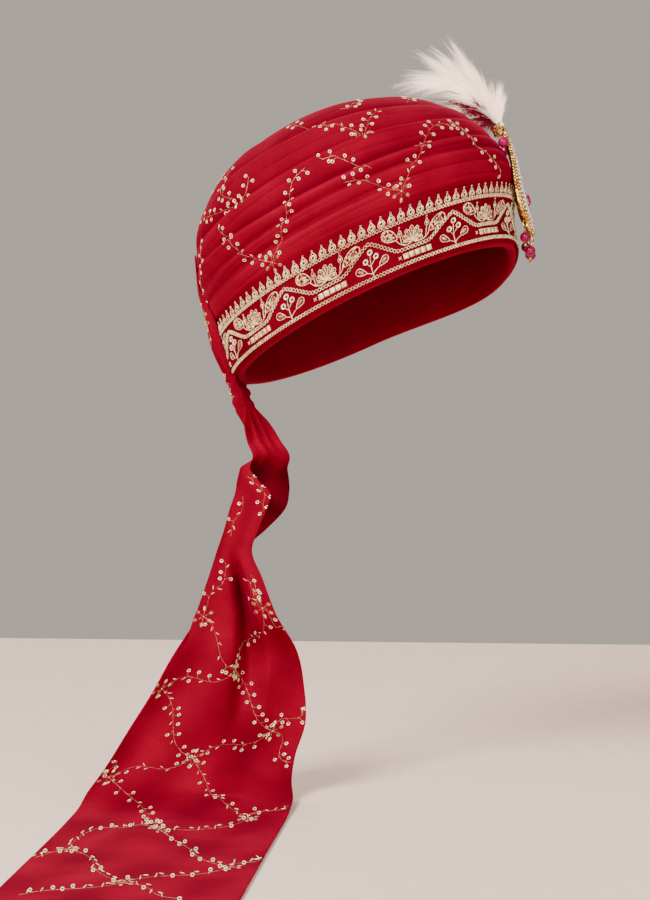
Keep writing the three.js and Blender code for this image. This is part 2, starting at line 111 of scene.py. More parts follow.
def make_velvet(name, deep, lit, sheen):
    material, tree, shader = new_material(name)
    mottle = mottled(tree, 38, 3, (0.3, deep), (0.7, lit))
    # Painted light: a point attribute scales the base colour, lighter for painted highlights and sheen,
    # darker for painted shade.
    painted_sheen_and_shade = add_node(tree, "ShaderNodeAttribute", attribute_name="painted_light")
    share = add_node(tree, "ShaderNodeMath", operation="ADD")
    share.inputs[1].default_value = 1.0
    tree.links.new(painted_sheen_and_shade.outputs["Fac"], share.inputs[0])
    shaded = add_node(tree, "ShaderNodeVectorMath", operation="SCALE")
    tree.links.new(mottle, shaded.inputs[0])
    tree.links.new(share.outputs["Value"], shaded.inputs["Scale"])
    tree.links.new(shaded.outputs["Vector"], shader.inputs["Base Color"])
    shader.inputs["Roughness"].default_value = 0.9
    shader.inputs["Specular IOR Level"].default_value = 0.03
    shader.inputs["Sheen Weight"].default_value = sheen
    shader.inputs["Sheen Roughness"].default_value = 0.32
    shader.inputs["Sheen Tint"].default_value = (1.0, 0.0, 0.10, 1)
    bump(tree, shader, noise(tree, 1500, 2), 0.25, 0.0006)
    return material


def make_thread(name, pale, deep, metal, rough):
    material, tree, shader = new_material(name)
    patches = mottled(tree, 420, 2, (0.35, deep), (0.65, pale))
    tree.links.new(patches, shader.inputs["Base Color"])
    shader.inputs["Metallic"].default_value = metal
    shader.inputs["Roughness"].default_value = rough
    bump(tree, shader, noise(tree, 2600, 1), 0.35, 0.0003)
    return material


def make_metal(name, pale, deep, rough):
    material, tree, shader = new_material(name)
    worn = mottled(tree, 240, 3, (0.35, deep), (0.7, pale))
    tree.links.new(worn, shader.inputs["Base Color"])
    shader.inputs["Metallic"].default_value = 1
    shader.inputs["Roughness"].default_value = rough
    bump(tree, shader, noise(tree, 700, 2), 0.5, 0.0006)
    return material


def make_glass(name, pale, deep, clear, rough, coat, ior):
    material, tree, shader = new_material(name)
    cloudy = mottled(tree, 150, 2, (0.3, deep), (0.7, pale))
    tree.links.new(cloudy, shader.inputs["Base Color"])
    shader.inputs["Roughness"].default_value = rough
    shader.inputs["IOR"].default_value = ior
    shader.inputs["Transmission Weight"].default_value = clear
    shader.inputs["Coat Weight"].default_value = coat
    shader.inputs["Coat Roughness"].default_value = 0.05
    return material


def make_feather(name, pale, deep, clear, airy):
    material, tree, shader = new_material(name)
    streaks = mottled(tree, 120, 3, (0.3, deep), (0.65, pale))
    tree.links.new(streaks, shader.inputs["Base Color"])
    shader.inputs["Roughness"].default_value = 0.8
    shader.inputs["Specular IOR Level"].default_value = 0.08
    through = add_node(tree, "ShaderNodeBsdfTranslucent")
    tree.links.new(streaks, through.inputs["Color"])
    blend = add_node(tree, "ShaderNodeMixShader", Fac=clear)
    tree.links.new(shader.outputs["BSDF"], blend.inputs[1])
    tree.links.new(through.outputs["BSDF"], blend.inputs[2])
    gaps = add_node(tree, "ShaderNodeBsdfTransparent")
    thinned = add_node(tree, "ShaderNodeMixShader", Fac=airy)
    tree.links.new(blend.outputs["Shader"], thinned.inputs[1])
    tree.links.new(gaps.outputs["BSDF"], thinned.inputs[2])
    tree.links.new(thinned.outputs["Shader"], tree.nodes["Material Output"].inputs["Surface"])
    return material


velvet = make_velvet("red velvet", (0.143, 0.0, 0.0085), (0.182, 0.0, 0.0115), 0.24)
band_velvet = make_velvet("border velvet", (0.088, 0.0, 0.005), (0.118, 0.0, 0.0068), 0.12)
lining = make_velvet("red lining", (0.105, 0.0, 0.006), (0.13, 0.0, 0.0085), 0.12)
gold_thread = make_thread("gold thread", (1.0, 0.85, 0.56), (0.60, 0.33, 0.13), 0.3, 0.3)
copper_thread = make_thread("copper thread", (0.60, 0.34, 0.165), (0.22, 0.09, 0.04), 0.4, 0.36)
sequin_gilt = make_thread("gilt sequins", (1.0, 0.83, 0.63), (1.0, 0.69, 0.42), 0.2, 0.22)
# Near-black knots in the sequin holes: real stitches, coloured as painted shade for the dark holes.
hole_shade_thread = make_thread("stitched centres in painted shade", (0.07, 0.006, 0.006), (0.03, 0.002, 0.003), 0.0, 0.8)
gilt = make_metal("polished gilt", (0.95, 0.66, 0.22), (0.50, 0.24, 0.04), 0.22)
crystal = make_glass("clear crystal", (0.97, 0.95, 0.93), (0.84, 0.80, 0.78), 0.35, 0.03, 0.6, 1.55)
ruby = make_glass("ruby glass", (0.22, 0.0, 0.040), (0.13, 0.0, 0.020), 0.0, 0.16, 0.0, 1.3)
pink = make_glass("pink glass", (0.31, 0.0, 0.070), (0.21, 0.0, 0.045), 0.0, 0.16, 0.0, 1.3)
pearl = make_glass("pearl", (0.90, 0.83, 0.76), (0.82, 0.72, 0.66), 0.0, 0.22, 0.6, 1.5)
cream_feather = make_feather("cream feather", (1.0, 0.92, 0.85), (0.97, 0.83, 0.74), 0.5, 0.3)
maroon_feather = make_feather("maroon feather", (0.20, 0.0, 0.016), (0.09, 0.0, 0.007), 0.35, 0.1)


# Finished pieces from arrays of points and faces
def cloth_piece(name, points, faces, materials, face_material=None):
    mesh = bpy.data.meshes.new(name)
    mesh.from_pydata(points.tolist(), [], faces)
    for material in materials:
        mesh.materials.append(material)
    mesh.polygons.foreach_set("use_smooth", [True] * len(mesh.polygons))
    if face_material is not None:
        mesh.polygons.foreach_set("material_index", face_material)
    mesh.update()
    piece = bpy.data.objects.new(name, mesh)
    bpy.context.scene.collection.objects.link(piece)
    return piece


# Stores per-point painted light: highlights, sheen and shade that scale the velvet's base colour.
def add_painted_light(piece, painted_light):
    piece.data.attributes.new("painted_light", "FLOAT", "POINT").data.foreach_set("value", painted_light)


def grid_faces(rows, columns, wrap, closed=False):
    """Faces of a grid of points, wrapped across its columns and closed along its rows if asked."""
    down = rows if closed else rows - 1
    across = columns if wrap else columns - 1
    row, column = np.meshgrid(np.arange(down), np.arange(across), indexing="ij")
    below, after = (row + 1) % rows, (column + 1) % columns
    quads = np.stack([row * columns + column, row * columns + after,
                      below * columns + after, below * columns + column], -1)
    return quads.reshape(-1, 4).tolist()


def tube_faces(count, closed=False):
    """Faces of a three-sided tube along count points, joined to a loop or capped at both ends."""
    end = 3 * (count - 1)
    caps = [] if closed else [[2, 1, 0], [end, end + 1, end + 2]]
    return grid_faces(count, 3, True, closed) + caps


def copied_faces(faces, starts):
    return [[int(start) + i for i in face] for start in starts for face in faces]


def settle(piece, slot, *nodes):
    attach(piece, "root")
    if nodes:
        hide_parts(*nodes)
    return piece


# Cap: the leaning skin that the crown, the band and their embroidery lie on (millimetres)
RIM = {"length": 112.5, "width": 94.5}
RIM_DIP = {"depth": 10, "turn": math.radians(40), "reach": math.radians(55)}
DOME = {"base": 57, "rise": 94, "length": 119.5, "width": 102, "forward": 13}
BAND_TOP = 40
LEAN_SIDE, LEAN_BACK = math.radians(-12), math.radians(-26)
CAP_LEAN = np.array(Matrix.Rotation(LEAN_SIDE, 3, "X") @ Matrix.Rotation(LEAN_BACK, 3, "Y"))
CAP_COLUMNS = 420
LINING_LIFT = -8.3


def ease(x, low, high):
    t = np.clip((x - low) / (high - low), 0, 1)
    return t * t * (3 - 2 * t)


def lerp(a, b, t):
    return a + (b - a) * t


def floats(*values):
    return np.broadcast_arrays(*(np.asarray(value, float) for value in values))


def turns(count):
    return np.arange(count) * 2 * np.pi / count


def run_along(points):
    """Distance from the first point to each point along the way."""
    return np.concatenate([[0], np.cumsum(np.linalg.norm(np.diff(points, axis=0), axis=-1))])


def cap_point(turn, height, lift):
    turn, height, lift = floats(turn, height, lift)
    turn = (turn + np.pi) % (2 * np.pi) - np.pi
    grown = ease(height, 0, DOME["base"])
    climb = np.arcsin(np.clip((height - DOME["base"]) / DOME["rise"], 0, 1))
    length = lerp(RIM["length"], DOME["length"], grown)
    width = lerp(RIM["width"], DOME["width"], grown)
    c, s, flat = np.cos(turn), np.sin(turn), np.cos(climb)
    out = np.stack([c * flat / length, s * flat / width, np.sin(climb) / DOME["rise"]], -1)
    out /= np.linalg.norm(out, axis=-1, keepdims=True)
    from_dip = np.abs(RIM_DIP["turn"] - turn) / RIM_DIP["reach"]
    dip = RIM_DIP["depth"] * (1 - ease(from_dip, 0, 1)) * (1 - np.clip(height / BAND_TOP, 0, 1))
    ahead = DOME["forward"] * grown + length * flat * c
    point = np.stack([ahead, width * flat * s, height - dip], -1)
    return (point + out * lift[..., None]) @ CAP_LEAN.T * MM


# Crown folds: height of each crest over the rim at back, sides and front, and its depth
PLEATS = np.array([
    (52, 54, 52, 1.6),
    (61, 66, 62, 2.2),
    (78, 76, 73, 3.2),
    (91, 97, 89, 3.6),
    (112, 121, 104, 3.4),
    (132, 138, 126, 2.2),
])
TUCK = 3.4
TOP = DOME["base"] + DOME["rise"]


def crest_heights(turn):
    c = np.cos(turn)[..., None]
    back, side, front = PLEATS[:, 0], PLEATS[:, 1], PLEATS[:, 2]
    return lerp(side, np.where(c > 0, front, back), c * c)


def crown_lift(turn, height):
    turn, height = floats(turn, height)
    crests = crest_heights(turn)
    lift = -2.2 + 2.6 * ease(height, BAND_TOP, BAND_TOP + 4.5)
    place = np.zeros(turn.shape)
    valley = np.full(turn.shape, BAND_TOP + 4.0)
    quiet = (1 - 0.85 * ease(-np.cos(turn), 0.6, 0.92)) * (1 - 0.72 * ease(np.cos(turn), 0.3, 0.8))
    nape = 1.4 * ease(height, 44, 66) + 2.0 * ease(height, 90, 104)
    nape = nape * (1 - ease(height, TOP - 22, TOP - 1))
    lift = lift + nape * ease(-np.cos(turn), 0.35, 0.9)
    for k, depth in enumerate(PLEATS[:, 3]):
        swing = depth * (1 + 0.25 * np.sin(3 * turn + 2 * k)) * quiet
        crest = crests[..., k]
        rise = np.clip((height - valley) / (crest - valley), 0, 1)
        fall = ease(height, crest, crest + TUCK)
        valley = crest + TUCK
        lift = lift + swing * 1.1 * np.sin(np.pi / 2 * rise) * (1 - fall)
        lift = lift - swing * 0.35 * np.exp(-((height - valley) / 2.2) ** 2)
        place = place + rise + fall
    fine = np.sin(2.6 * place + 1.3 * np.sin(1.7 * turn) + 0.9)
    fine = fine * (0.5 + 0.5 * np.sin(2.3 * turn + 0.6))
    finer = np.sin(6.1 * place - 2.0 * turn + 1.1 * np.sin(3 * turn))
    finer = finer * (0.5 + 0.5 * np.sin(3.1 * turn + 2.0))
    loose = ease(height, BAND_TOP + 3, BAND_TOP + 10) * (1 - ease(height, TOP - 12, TOP))
    return lift + loose * quiet * (0.36 * fine + 0.12 * finer)


def crown_painted_light(turn, height):
    """Painted light on the crown velvet: painted highlight along each crest, painted shade in the crease
    above it, and thin wrinkle lines of painted highlight and shade.
    """
    crests = crest_heights(turn)
    share = np.zeros(turn.shape)
    for k, depth in enumerate(PLEATS[:, 3]):
        above = height - crests[..., k]
        deep = (0.66 + 0.34 * np.sin(2 * turn + 2.4 * k)) * min(1, depth / 3)
        crease_shade = ease(above, 0.4, TUCK) * np.exp(-np.maximum(above - TUCK, 0) / 5.5)
        # Painted highlight along the crest line and painted shade in the crease above it.
        share = share + deep * (0.26 * np.exp(-((above + 0.5) / 1.5) ** 2) - 0.42 * crease_shade)
        # Thin lines of painted highlight and shade standing for small wrinkles above each crest.
        for j, below in enumerate((3.2, 6.4, 9.6)):
            shown = ease(np.sin(3 * turn + 1.7 * k + 2.9 * j), -0.2, 0.6)
            line = above + below + 1.1 * np.sin(2 * turn + 2.1 * k + 1.3 * j)
            wrinkle_light_and_shade = 0.6 * np.exp(-((line + 1.0) / 0.8) ** 2) - np.exp(-(line / 0.75) ** 2)
            share = share + 0.2 * shown * wrinkle_light_and_shade
    return share * (1 - ease(height, TOP - 7, TOP - 1))


def make_crown():
    columns = CAP_COLUMNS
    turn = np.linspace(-np.pi, np.pi, columns, endpoint=False)
    crests = crest_heights(turn)
    heights = [np.full(columns, h) for h in (0, 10, 20, 30, 38, 40, 41, 42, 43.2, 44.0)]
    valley = heights[-1]
    for k in range(len(PLEATS) + 1):
        crest = crests[:, k] if k < len(PLEATS) else np.full(columns, TOP - 0.4)
        heights += [lerp(valley, crest, t) for t in np.linspace(0, 1, 18)[1:]]
        valley = crest + TUCK
        if k < len(PLEATS):
            heights += [crest + TUCK * t for t in np.linspace(0, 1, 8)[1:]]
    outer = [cap_point(turn, h, np.where(h < BAND_TOP, -2.3, crown_lift(turn, h))) for h in heights]
    inner = [cap_point(turn, h, LINING_LIFT) for h in np.linspace(0, TOP - 1.5, 22)]
    rim = [cap_point(turn, -1.2, lift) for lift in (-7.3, -5.3, -3.3)]
    loops = inner[::-1] + rim + outer
    points = np.concatenate(loops)
    faces = grid_faces(len(loops), columns, True)
    first, last = len(points), len(points) + 1
    poles = [cap_point(0, TOP, lift) for lift in (LINING_LIFT, crown_lift(0.0, TOP))]
    points = np.vstack([points, poles])
    end = (len(loops) - 1) * columns
    faces += [[first, (i + 1) % columns, i] for i in range(columns)]
    faces += [[end + i, end + (i + 1) % columns, last] for i in range(columns)]
    inside = np.zeros(len(faces), int)
    inside[: (len(inner) + 1) * columns] = 1
    inside[(len(loops) - 1) * columns: len(loops) * columns] = 1
    piece = cloth_piece("crown_cloth", points, faces, [velvet, lining], inside)
    # Painted highlights and shade go on the outer velvet only; the lining and rim stay plain.
    painted_light = np.zeros(len(points))
    covered = len(inner) + len(rim)
    painted_light[covered * columns:-2] = np.concatenate([crown_painted_light(turn, h) for h in heights])
    add_painted_light(piece, painted_light)
    settle(piece, "velvet", "crown")


def band_lift(turn, height):
    return 0.25 * np.sin(9 * turn + 0.08 * height) * ease(height, 0, 10)


def make_band():
    turn = np.linspace(-np.pi, np.pi, CAP_COLUMNS, endpoint=False)
    roll = 0.9
    section = [(h, 0.0) for h in np.linspace(roll, BAND_TOP - roll, 40)]
    section += [(BAND_TOP - roll + roll * math.sin(a), -roll + roll * math.cos(a))
                for a in np.linspace(0.4, 2.7, 6)]
    section += [(h, -2 * roll) for h in np.linspace(BAND_TOP - 1, 1, 4)]
    section += [(roll - roll * math.cos(a), -roll - roll * math.sin(a)) for a in np.linspace(0.9, -1.2, 6)]
    loops = [cap_point(turn, h, lift + band_lift(turn, h)) for h, lift in section]
    faces = grid_faces(len(loops), CAP_COLUMNS, True, True)
    piece = cloth_piece("band_cloth", np.concatenate(loops), faces, [band_velvet])
    return settle(piece, "embroidered_velvet", "border_band")


# Tail: height over the rim, half the angle it covers, how far it stands off, fold and gather
TAIL_ON_CAP = (
    (92, 15, 3.3, 0.1, 0.0),
    (70, 17, 3.7, 0.3, 0.1),
    (56, 19, 4.7, 0.4, 0.2),
    (44, 21, 6.6, 0.6, 0.3),
    (28, 22.5, 6.8, 0.8, 0.6),
    (14, 23, 4.4, 1.0, 1.0),
    (4, 20, 2.2, 1.2, 1.8),
)
# Gathered neck: middle of the section, compass of its width, half its width, gather
TAIL_NECK = (
    (-95, -8, -66, 262, 14, 4.2),
    (-87.5, -8, -79, 236, 14, 2.4),
    (-81, -7, -92, 214, 13.5, 1.0),
    (-75.5, -8, -102, 198, 13.5, 0.5),
)
# Doubled stretch: middle depth, height, left fold, near edge, far edge, gap between the layers,
# where the fold lies across the width, gather
TAIL_DOUBLE = (
    (-8, -112, -98, -90, -64, 9, 0.72, 0.3),
    (-9, -121, -100, -82, -63, 15, 0.40, 0.3),
    (-10, -129, -101, -74.5, -63, 18, 0.16, 0.3),
    (-11, -141, -105, -78, -66, 17, -0.05, 0.3),
    (-12, -156, -109, -84, -80, 14, -0.25, 0.3),
    (-13, -171, -114, -88, -97, 11, -0.42, 0.3),
    (-15, -190, -120, -79, -110, 9, -0.62, 0.3),
    (-19, -214, -128, -69, -124, 7, -0.84, 0.3),
)
# Open stretch and the length on the table: middle, half the width, compass of the width, fold
TAIL_OPEN = (
    (-101, -25, -242, 43.5, 383, 4.0),
    (-105, -31, -269, 55, 384, 5.0),
    (-111, -39, -294, 65, 384, 4.6),
    (-120.5, -50, -317, 69.5, 384, 3.5),
    (-126.5, -66, -333, 74, 382, 2.2),
    (-126.5, -90, -341.5, 76, 377, 1.5),
    (-127, -126, -344.6, 75, 369, 0.8),
    (-127, -180, -344.6, 74, 363, 0.8),
    (-127.5, -250, -344.6, 74, 360, 0.8),
    (-128, -325, -344.6, 74.5, 359, 0.8),
    (-128.5, -410, -344.6, 75, 358, 0.5),
)
TAIL_ACROSS = 150
TAIL_STEPS = 9
TAIL_WIDTH, TAIL_LENGTH = 152, 750
TAIL_THICK = 1.0
TABLE_BEND = -334
GATHERS = 3
across = np.linspace(-1, 1, TAIL_ACROSS + 1)
tail_wave = np.cos(np.pi * 1.5 * across + 0.35)
tail_gather = np.cos(np.pi * GATHERS * across + 0.6 * np.sin(3 * across))
tail_gather = tail_gather + 0.2 * np.cos(np.pi * 2.1 * GATHERS * across + 1)


def section_on_cap(rise, spread, lift, fold, gather):
    height = np.full(across.shape, float(rise))
    turn = np.pi + math.radians(spread) * across * (0.76 - 0.24 * across)
    edge = np.maximum(crown_lift(turn, height), 0.4) + 1.1
    laid = ease(np.abs(across), 0.55, 1.0) * ease(rise, 2, 14)
    return cap_point(turn, height, lerp(lift + fold * tail_wave + gather * tail_gather, edge, laid))


def section_flat(x, y, z, turn, half, out):
    turn = math.radians(turn)
    side = np.array((math.cos(turn), math.sin(turn), 0))
    forward = np.array((math.sin(turn), -math.cos(turn), 20 if z < TABLE_BEND else 0))
    forward /= np.linalg.norm(forward)
    return (np.array((x, y, z)) + np.outer(across * half, side) + np.outer(out, forward)) * MM


def flap_out():
    return 13 * ease(across, 0.34, 0.56) - 13 * np.exp(-((across - 0.22) / 0.14) ** 2)


def round_off(share):
    return np.sqrt(1 - (1 - np.clip(share / 0.35, 0, 1)) ** 2)


def section_double(y, z, left, near, far, gap, bend, gather):
    is_behind = across < bend
    behind = np.clip((across + 1) / (bend + 1), 0, 1)
    before = np.clip((across - bend) / (1 - bend), 0, 1)
    x = np.where(is_behind, lerp(far, left, behind), lerp(left, near, before))
    depth = np.where(is_behind, round_off(1 - behind), -round_off(before)) * gap / 2
    ripple = gather * tail_gather * np.minimum(1, 3 * np.where(is_behind, 1 - behind, before))
    depth = depth - ease(-z, 165, 205) * flap_out()
    height = np.full(across.shape, float(z)) + ripple * 0.2
    return np.stack([x, y + depth + ripple * 0.6, height], -1) * MM


def flow(sections, steps):
    before, beyond = 2 * sections[0] - sections[1], 2 * sections[-1] - sections[-2]
    padded = np.concatenate([[before], sections, [beyond]])
    rows = []
    for i in range(len(sections) - 1):
        a, b, c, d = padded[i:i + 4]
        for t in np.arange(steps) / steps:
            rows.append(0.5 * (2 * b + (c - a) * t + (2 * a - 5 * b + 4 * c - d) * t * t
                               + (3 * b - a - 3 * c + d) * t ** 3))
    return np.array(rows + [sections[-1]])


def tail_rows():
    upper = [section_on_cap(*row) for row in TAIL_ON_CAP]
    upper += [section_flat(*row[:5], row[5] * tail_gather) for row in TAIL_NECK]
    doubled = [section_double(*row) for row in flow(np.array(TAIL_DOUBLE, float), TAIL_STEPS)]
    lower = [section_flat(x, y, z, turn, half, fold * tail_wave + ease(z, -318, -240) * flap_out())
             for x, y, z, half, turn, fold in TAIL_OPEN]
    first = flow(np.array(upper + [doubled[0], doubled[TAIL_STEPS]]), TAIL_STEPS)[:-TAIL_STEPS - 1]
    last = flow(np.array([doubled[-TAIL_STEPS - 1], doubled[-1]] + lower), TAIL_STEPS)[TAIL_STEPS + 1:]
    grid = np.concatenate([first, doubled, last])
    row = np.arange(len(grid))[:, None]
    ruffle = 1.3 * np.exp(-((row - 57) / 6.0) ** 2) * np.sin(np.pi / 2 * row + 2.5 * across)
    spread = ease(row, 203, 222) * (1 - ease(row, 236, 250))
    swell = np.sin(0.115 * row + 2.2 * across + 0.9 * np.sin(2.5 * across))
    swell = swell + 0.6 * np.sin(0.21 * row - 3.1 * across + 1.0)
    grid[..., 0] += ruffle * MM
    grid[..., 2] += spread * 4.0 * np.maximum(swell, 0) ** 1.5 * MM
    return grid


tail_grid = tail_rows()
tail_normal = np.cross(np.gradient(tail_grid, axis=0), np.gradient(tail_grid, axis=1))
tail_normal /= np.linalg.norm(tail_normal, axis=-1, keepdims=True)
tail_run = run_along(tail_grid.mean(axis=1))


def make_tail():
    rows, columns = tail_grid.shape[:2]
    face = (tail_grid + tail_normal * TAIL_THICK * MM / 2).reshape(-1, 3)
    back = (tail_grid - tail_normal * TAIL_THICK * MM / 2).reshape(-1, 3)
    front_faces = grid_faces(rows, columns, False)
    count = rows * columns
    faces = [face[::-1] for face in front_faces] + copied_faces(front_faces, [count])
    edge = list(range(columns)) + [r * columns + columns - 1 for r in range(1, rows)]
    edge += [(rows - 1) * columns + c for c in range(columns - 2, -1, -1)]
    edge += [r * columns for r in range(rows - 2, 0, -1)]
    faces += [[a, b, b + count, a + count] for a, b in zip(edge, edge[1:] + edge[:1])]
    piece = cloth_piece("tail_cloth", np.concatenate([face, back]), faces, [velvet])
    down, aside = tail_run[:, None] / MM, np.linspace(-0.5, 0.5, columns) * TAIL_WIDTH
    # Painted sheen: broad streaks, lighter and darker, stronger along the lying length.
    painted_sheen_and_shade = 0.08 * np.sin(0.11 * aside + 0.035 * down)
    painted_sheen_and_shade = painted_sheen_and_shade + 0.07 * np.sin(0.05 * aside - 0.062 * down + 1.3)
    painted_sheen_and_shade = painted_sheen_and_shade * (1 + 0.9 * ease(down, 260, 420))
    # On the back face only: a painted highlight along the fold crest of the twist and painted shade in the
    # hollows under it.
    fold = 0.25 * np.exp(-((down - 145) / 6) ** 2) - 0.62 * np.exp(-((down - 170) / 13) ** 2)
    shaded = painted_sheen_and_shade + fold - 0.45 * np.exp(-((down - 195) / 14) ** 2)
    add_painted_light(piece, np.concatenate([painted_sheen_and_shade.ravel(), shaded.ravel()]))
    return settle(piece, "velvet", "tail")


# Embroidery: small stitched shapes laid on the cloth, sizes in millimetres
# Thread kinds; the last is the near-black knot that paints shade in each sequin hole.
GOLD, COPPER, SEQUIN_FOIL, HOLE_SHADE = 0, 1, 2, 3
SINK = 0.12


def turned_points(sides, loops):
    turn = turns(sides)
    rings = [np.stack([r * np.cos(turn), r * np.sin(turn), np.full(sides, z)], -1) for r, z in loops]
    return np.concatenate(rings)


def ring_shape(sides, *loops):
    """Closed ring turned from loops of (radius, height)."""
    return turned_points(sides, loops), grid_faces(len(loops), sides, True, True)


def knot_shape(sides):
    points = np.vstack([turned_points(sides, ((1, 0), (0.66, 0.78))), (0, 0, 1)])
    faces = grid_faces(2, sides, True)
    faces += [[sides + i, sides + (i + 1) % sides, 2 * sides] for i in range(sides)]
    return points, faces + [list(range(sides))[::-1]]


def stitch_shape():
    outline = [(-0.5, 0), (-0.2, -0.5), (0.2, -0.5), (0.5, 0), (0.2, 0.5), (-0.2, 0.5)]
    points = [(x, y, 0) for x, y in outline] + [(-0.25, 0, 1), (0.25, 0, 1)]
    faces = [[0, 1, 6], [1, 2, 7, 6], [2, 3, 7], [3, 4, 7], [4, 5, 6, 7], [5, 0, 6], [5, 4, 3, 2, 1, 0]]
    return np.array(points, float), faces


def tile_shape():
    points = [(x, y, 0) for x, y in ((-0.5, -0.5), (0.5, -0.5), (0.5, 0.5), (-0.5, 0.5))]
    points += [(0.72 * x, 0.72 * y, 1) for x, y, z in points]
    return np.array(points, float), grid_faces(2, 4, True) + [[3, 2, 1, 0], [4, 5, 6, 7]]


def cord_points(path, per, width, height, closed):
    path = np.asarray(path, float)
    along = np.roll(path, -1, 0) - np.roll(path, 1, 0) if closed else np.gradient(path, axis=0)
    along = along / per
    along /= np.linalg.norm(along, axis=-1, keepdims=True)
    left = np.stack([-along[:, 1], along[:, 0]], -1) * per * width / 2
    rows = [np.column_stack([path + left, np.zeros(len(path))]),
            np.column_stack([path, np.full(len(path), height)]),
            np.column_stack([path - left, np.zeros(len(path))])]
    return np.stack(rows, 1).reshape(-1, 3), tube_faces(len(path), closed)


def smooth_path(points, steps, closed=False):
    points = np.asarray(points, float)
    if closed:
        points = np.concatenate([points[-1:], points, points[:2]])
        return flow(points, steps)[steps:-steps - 1]
    return flow(points, steps)


def cord_shape(points, width, height, closed=True):
    return cord_points(smooth_path(points, 2, closed), 1.0, width, height, closed)


HOLE = 0.56
RING = ring_shape(8, (1.0, 0.0), (0.5 + HOLE / 2, 1.0), (HOLE, 0.0))
SEQUIN = ring_shape(10, (1.0, 0.0), (0.95, 1.0), (HOLE, 0.6), (HOLE, 0.0))
KNOT = knot_shape(7)
STITCH = stitch_shape()
TILE = tile_shape()
PETAL = cord_shape([(0, 0), (3.2, -1.3), (7, -2.1), (9.4, -1.2), (10, 0), (9.4, 1.2), (7, 2.1),
                    (3.2, 1.3)], 0.75, 0.6)
PAISLEY = cord_shape([(7.4, 1.4), (4.6, 3.2), (1, 4.0), (-3, 3.9), (-6, 2.4), (-7.3, 0), (-6.3, -2.4),
                      (-3.4, -3.8), (0.3, -3.6), (3.6, -2.2), (6, -0.2)], 0.85, 0.7)
TOOTH = cord_shape([(1.3, 0.2), (2.2, 1.9), (1.8, 3.5), (0.8, 4.9), (0, 6.6), (-0.8, 4.9), (-1.8, 3.5),
                    (-2.2, 1.9), (-1.3, 0.2)], 0.7, 0.6)
STALKS = {side: cord_shape([(0, 0), (1.3, side * 0.4), (2.3, side * 1.4), (2.5, side * 2.6)],
                           0.26, 0.35, False) for side in (-1, 1)}
DOT_RADIUS, DOT_HEIGHT, DOT_TILT = 1.32, 0.45, 0.08


class Needlework:
    """Stitched shapes gathered on one surface; place gives the points at (across, up, height)."""

    def __init__(self, place, stand=None):
        self.place = place
        self.stand = stand
        self.points, self.faces, self.threads, self.count = [], [], [], 0

    def per_mm(self, u, v):
        step = 0.25
        here = self.place(u, v, 0.0)
        across = np.linalg.norm(self.place(u + step, v, 0.0) - here, axis=-1)
        above = np.linalg.norm(self.place(u, v + step, 0.0) - here, axis=-1)
        return np.stack([step * MM / np.maximum(across, 5e-5), step * MM / np.maximum(above, 5e-5)], -1)

    def add(self, flat, faces, thread):
        copies, size = flat.shape[:2]
        self.points.append(self.place(flat[..., 0], flat[..., 1], flat[..., 2] - SINK).reshape(-1, 3))
        self.faces += copied_faces(faces, self.count + np.arange(copies) * size)
        self.threads += [thread] * (copies * len(faces))
        self.count += copies * size

    def lay(self, shape, u, v, angle=0.0, length=1.0, width=1.0, height=1.0, thread=GOLD, tilt=0.0,
            stand=0.0, foot=0.0):
        local, faces = shape
        u, v, angle, length, width, height, stand = (
            np.atleast_1d(x)[:, None] for x in floats(u, v, angle, length, width, height, stand))
        x, y = local[:, 0] * length, local[:, 1] * width
        per = self.per_mm(u[:, 0], v[:, 0])
        lean = rng.normal(0, tilt, (len(u), 2)) if tilt else np.zeros((len(u), 2))
        z = local[:, 2] * height + np.abs(x * lean[:, :1] + y * lean[:, 1:])
        z = z + (x * np.sin(angle) + y * np.cos(angle) + foot) * stand
        flat_u = u + (x * np.cos(angle) - y * np.sin(angle)) * per[:, :1]
        flat_v = v + (x * np.sin(angle) + y * np.cos(angle)) * per[:, 1:]
        self.add(np.stack([flat_u, flat_v, z], -1), faces, thread)

    def sequins(self, u, v):
        stand = self.stand(v) if self.stand else 0.0
        size, knot = DOT_RADIUS, 0.7 * DOT_RADIUS
        self.lay(SEQUIN, u, v, 0, size, size, DOT_HEIGHT, SEQUIN_FOIL, DOT_TILT, stand, size)
        # The knot in the hole is near black: the stitch plus painted shade.
        self.lay(KNOT, u, v, 0, knot, knot, 1.5 * DOT_HEIGHT, HOLE_SHADE, 0.0, stand, size)

    def trail(self, path, width, height, thread):
        per = self.per_mm(path[:, 0], path[:, 1])
        points, faces = cord_points(path, per, width, height, False)
        self.add(points[None], faces, thread)

    def finish(self, name, node):
        piece = cloth_piece(name, np.concatenate(self.points), self.faces,
                            [gold_thread, copper_thread, sequin_gilt, hole_shade_thread], self.threads)
        rounded = [thread != SEQUIN_FOIL for thread in self.threads]
        piece.data.polygons.foreach_set("use_smooth", rounded)
        return settle(piece, "gilt", node)


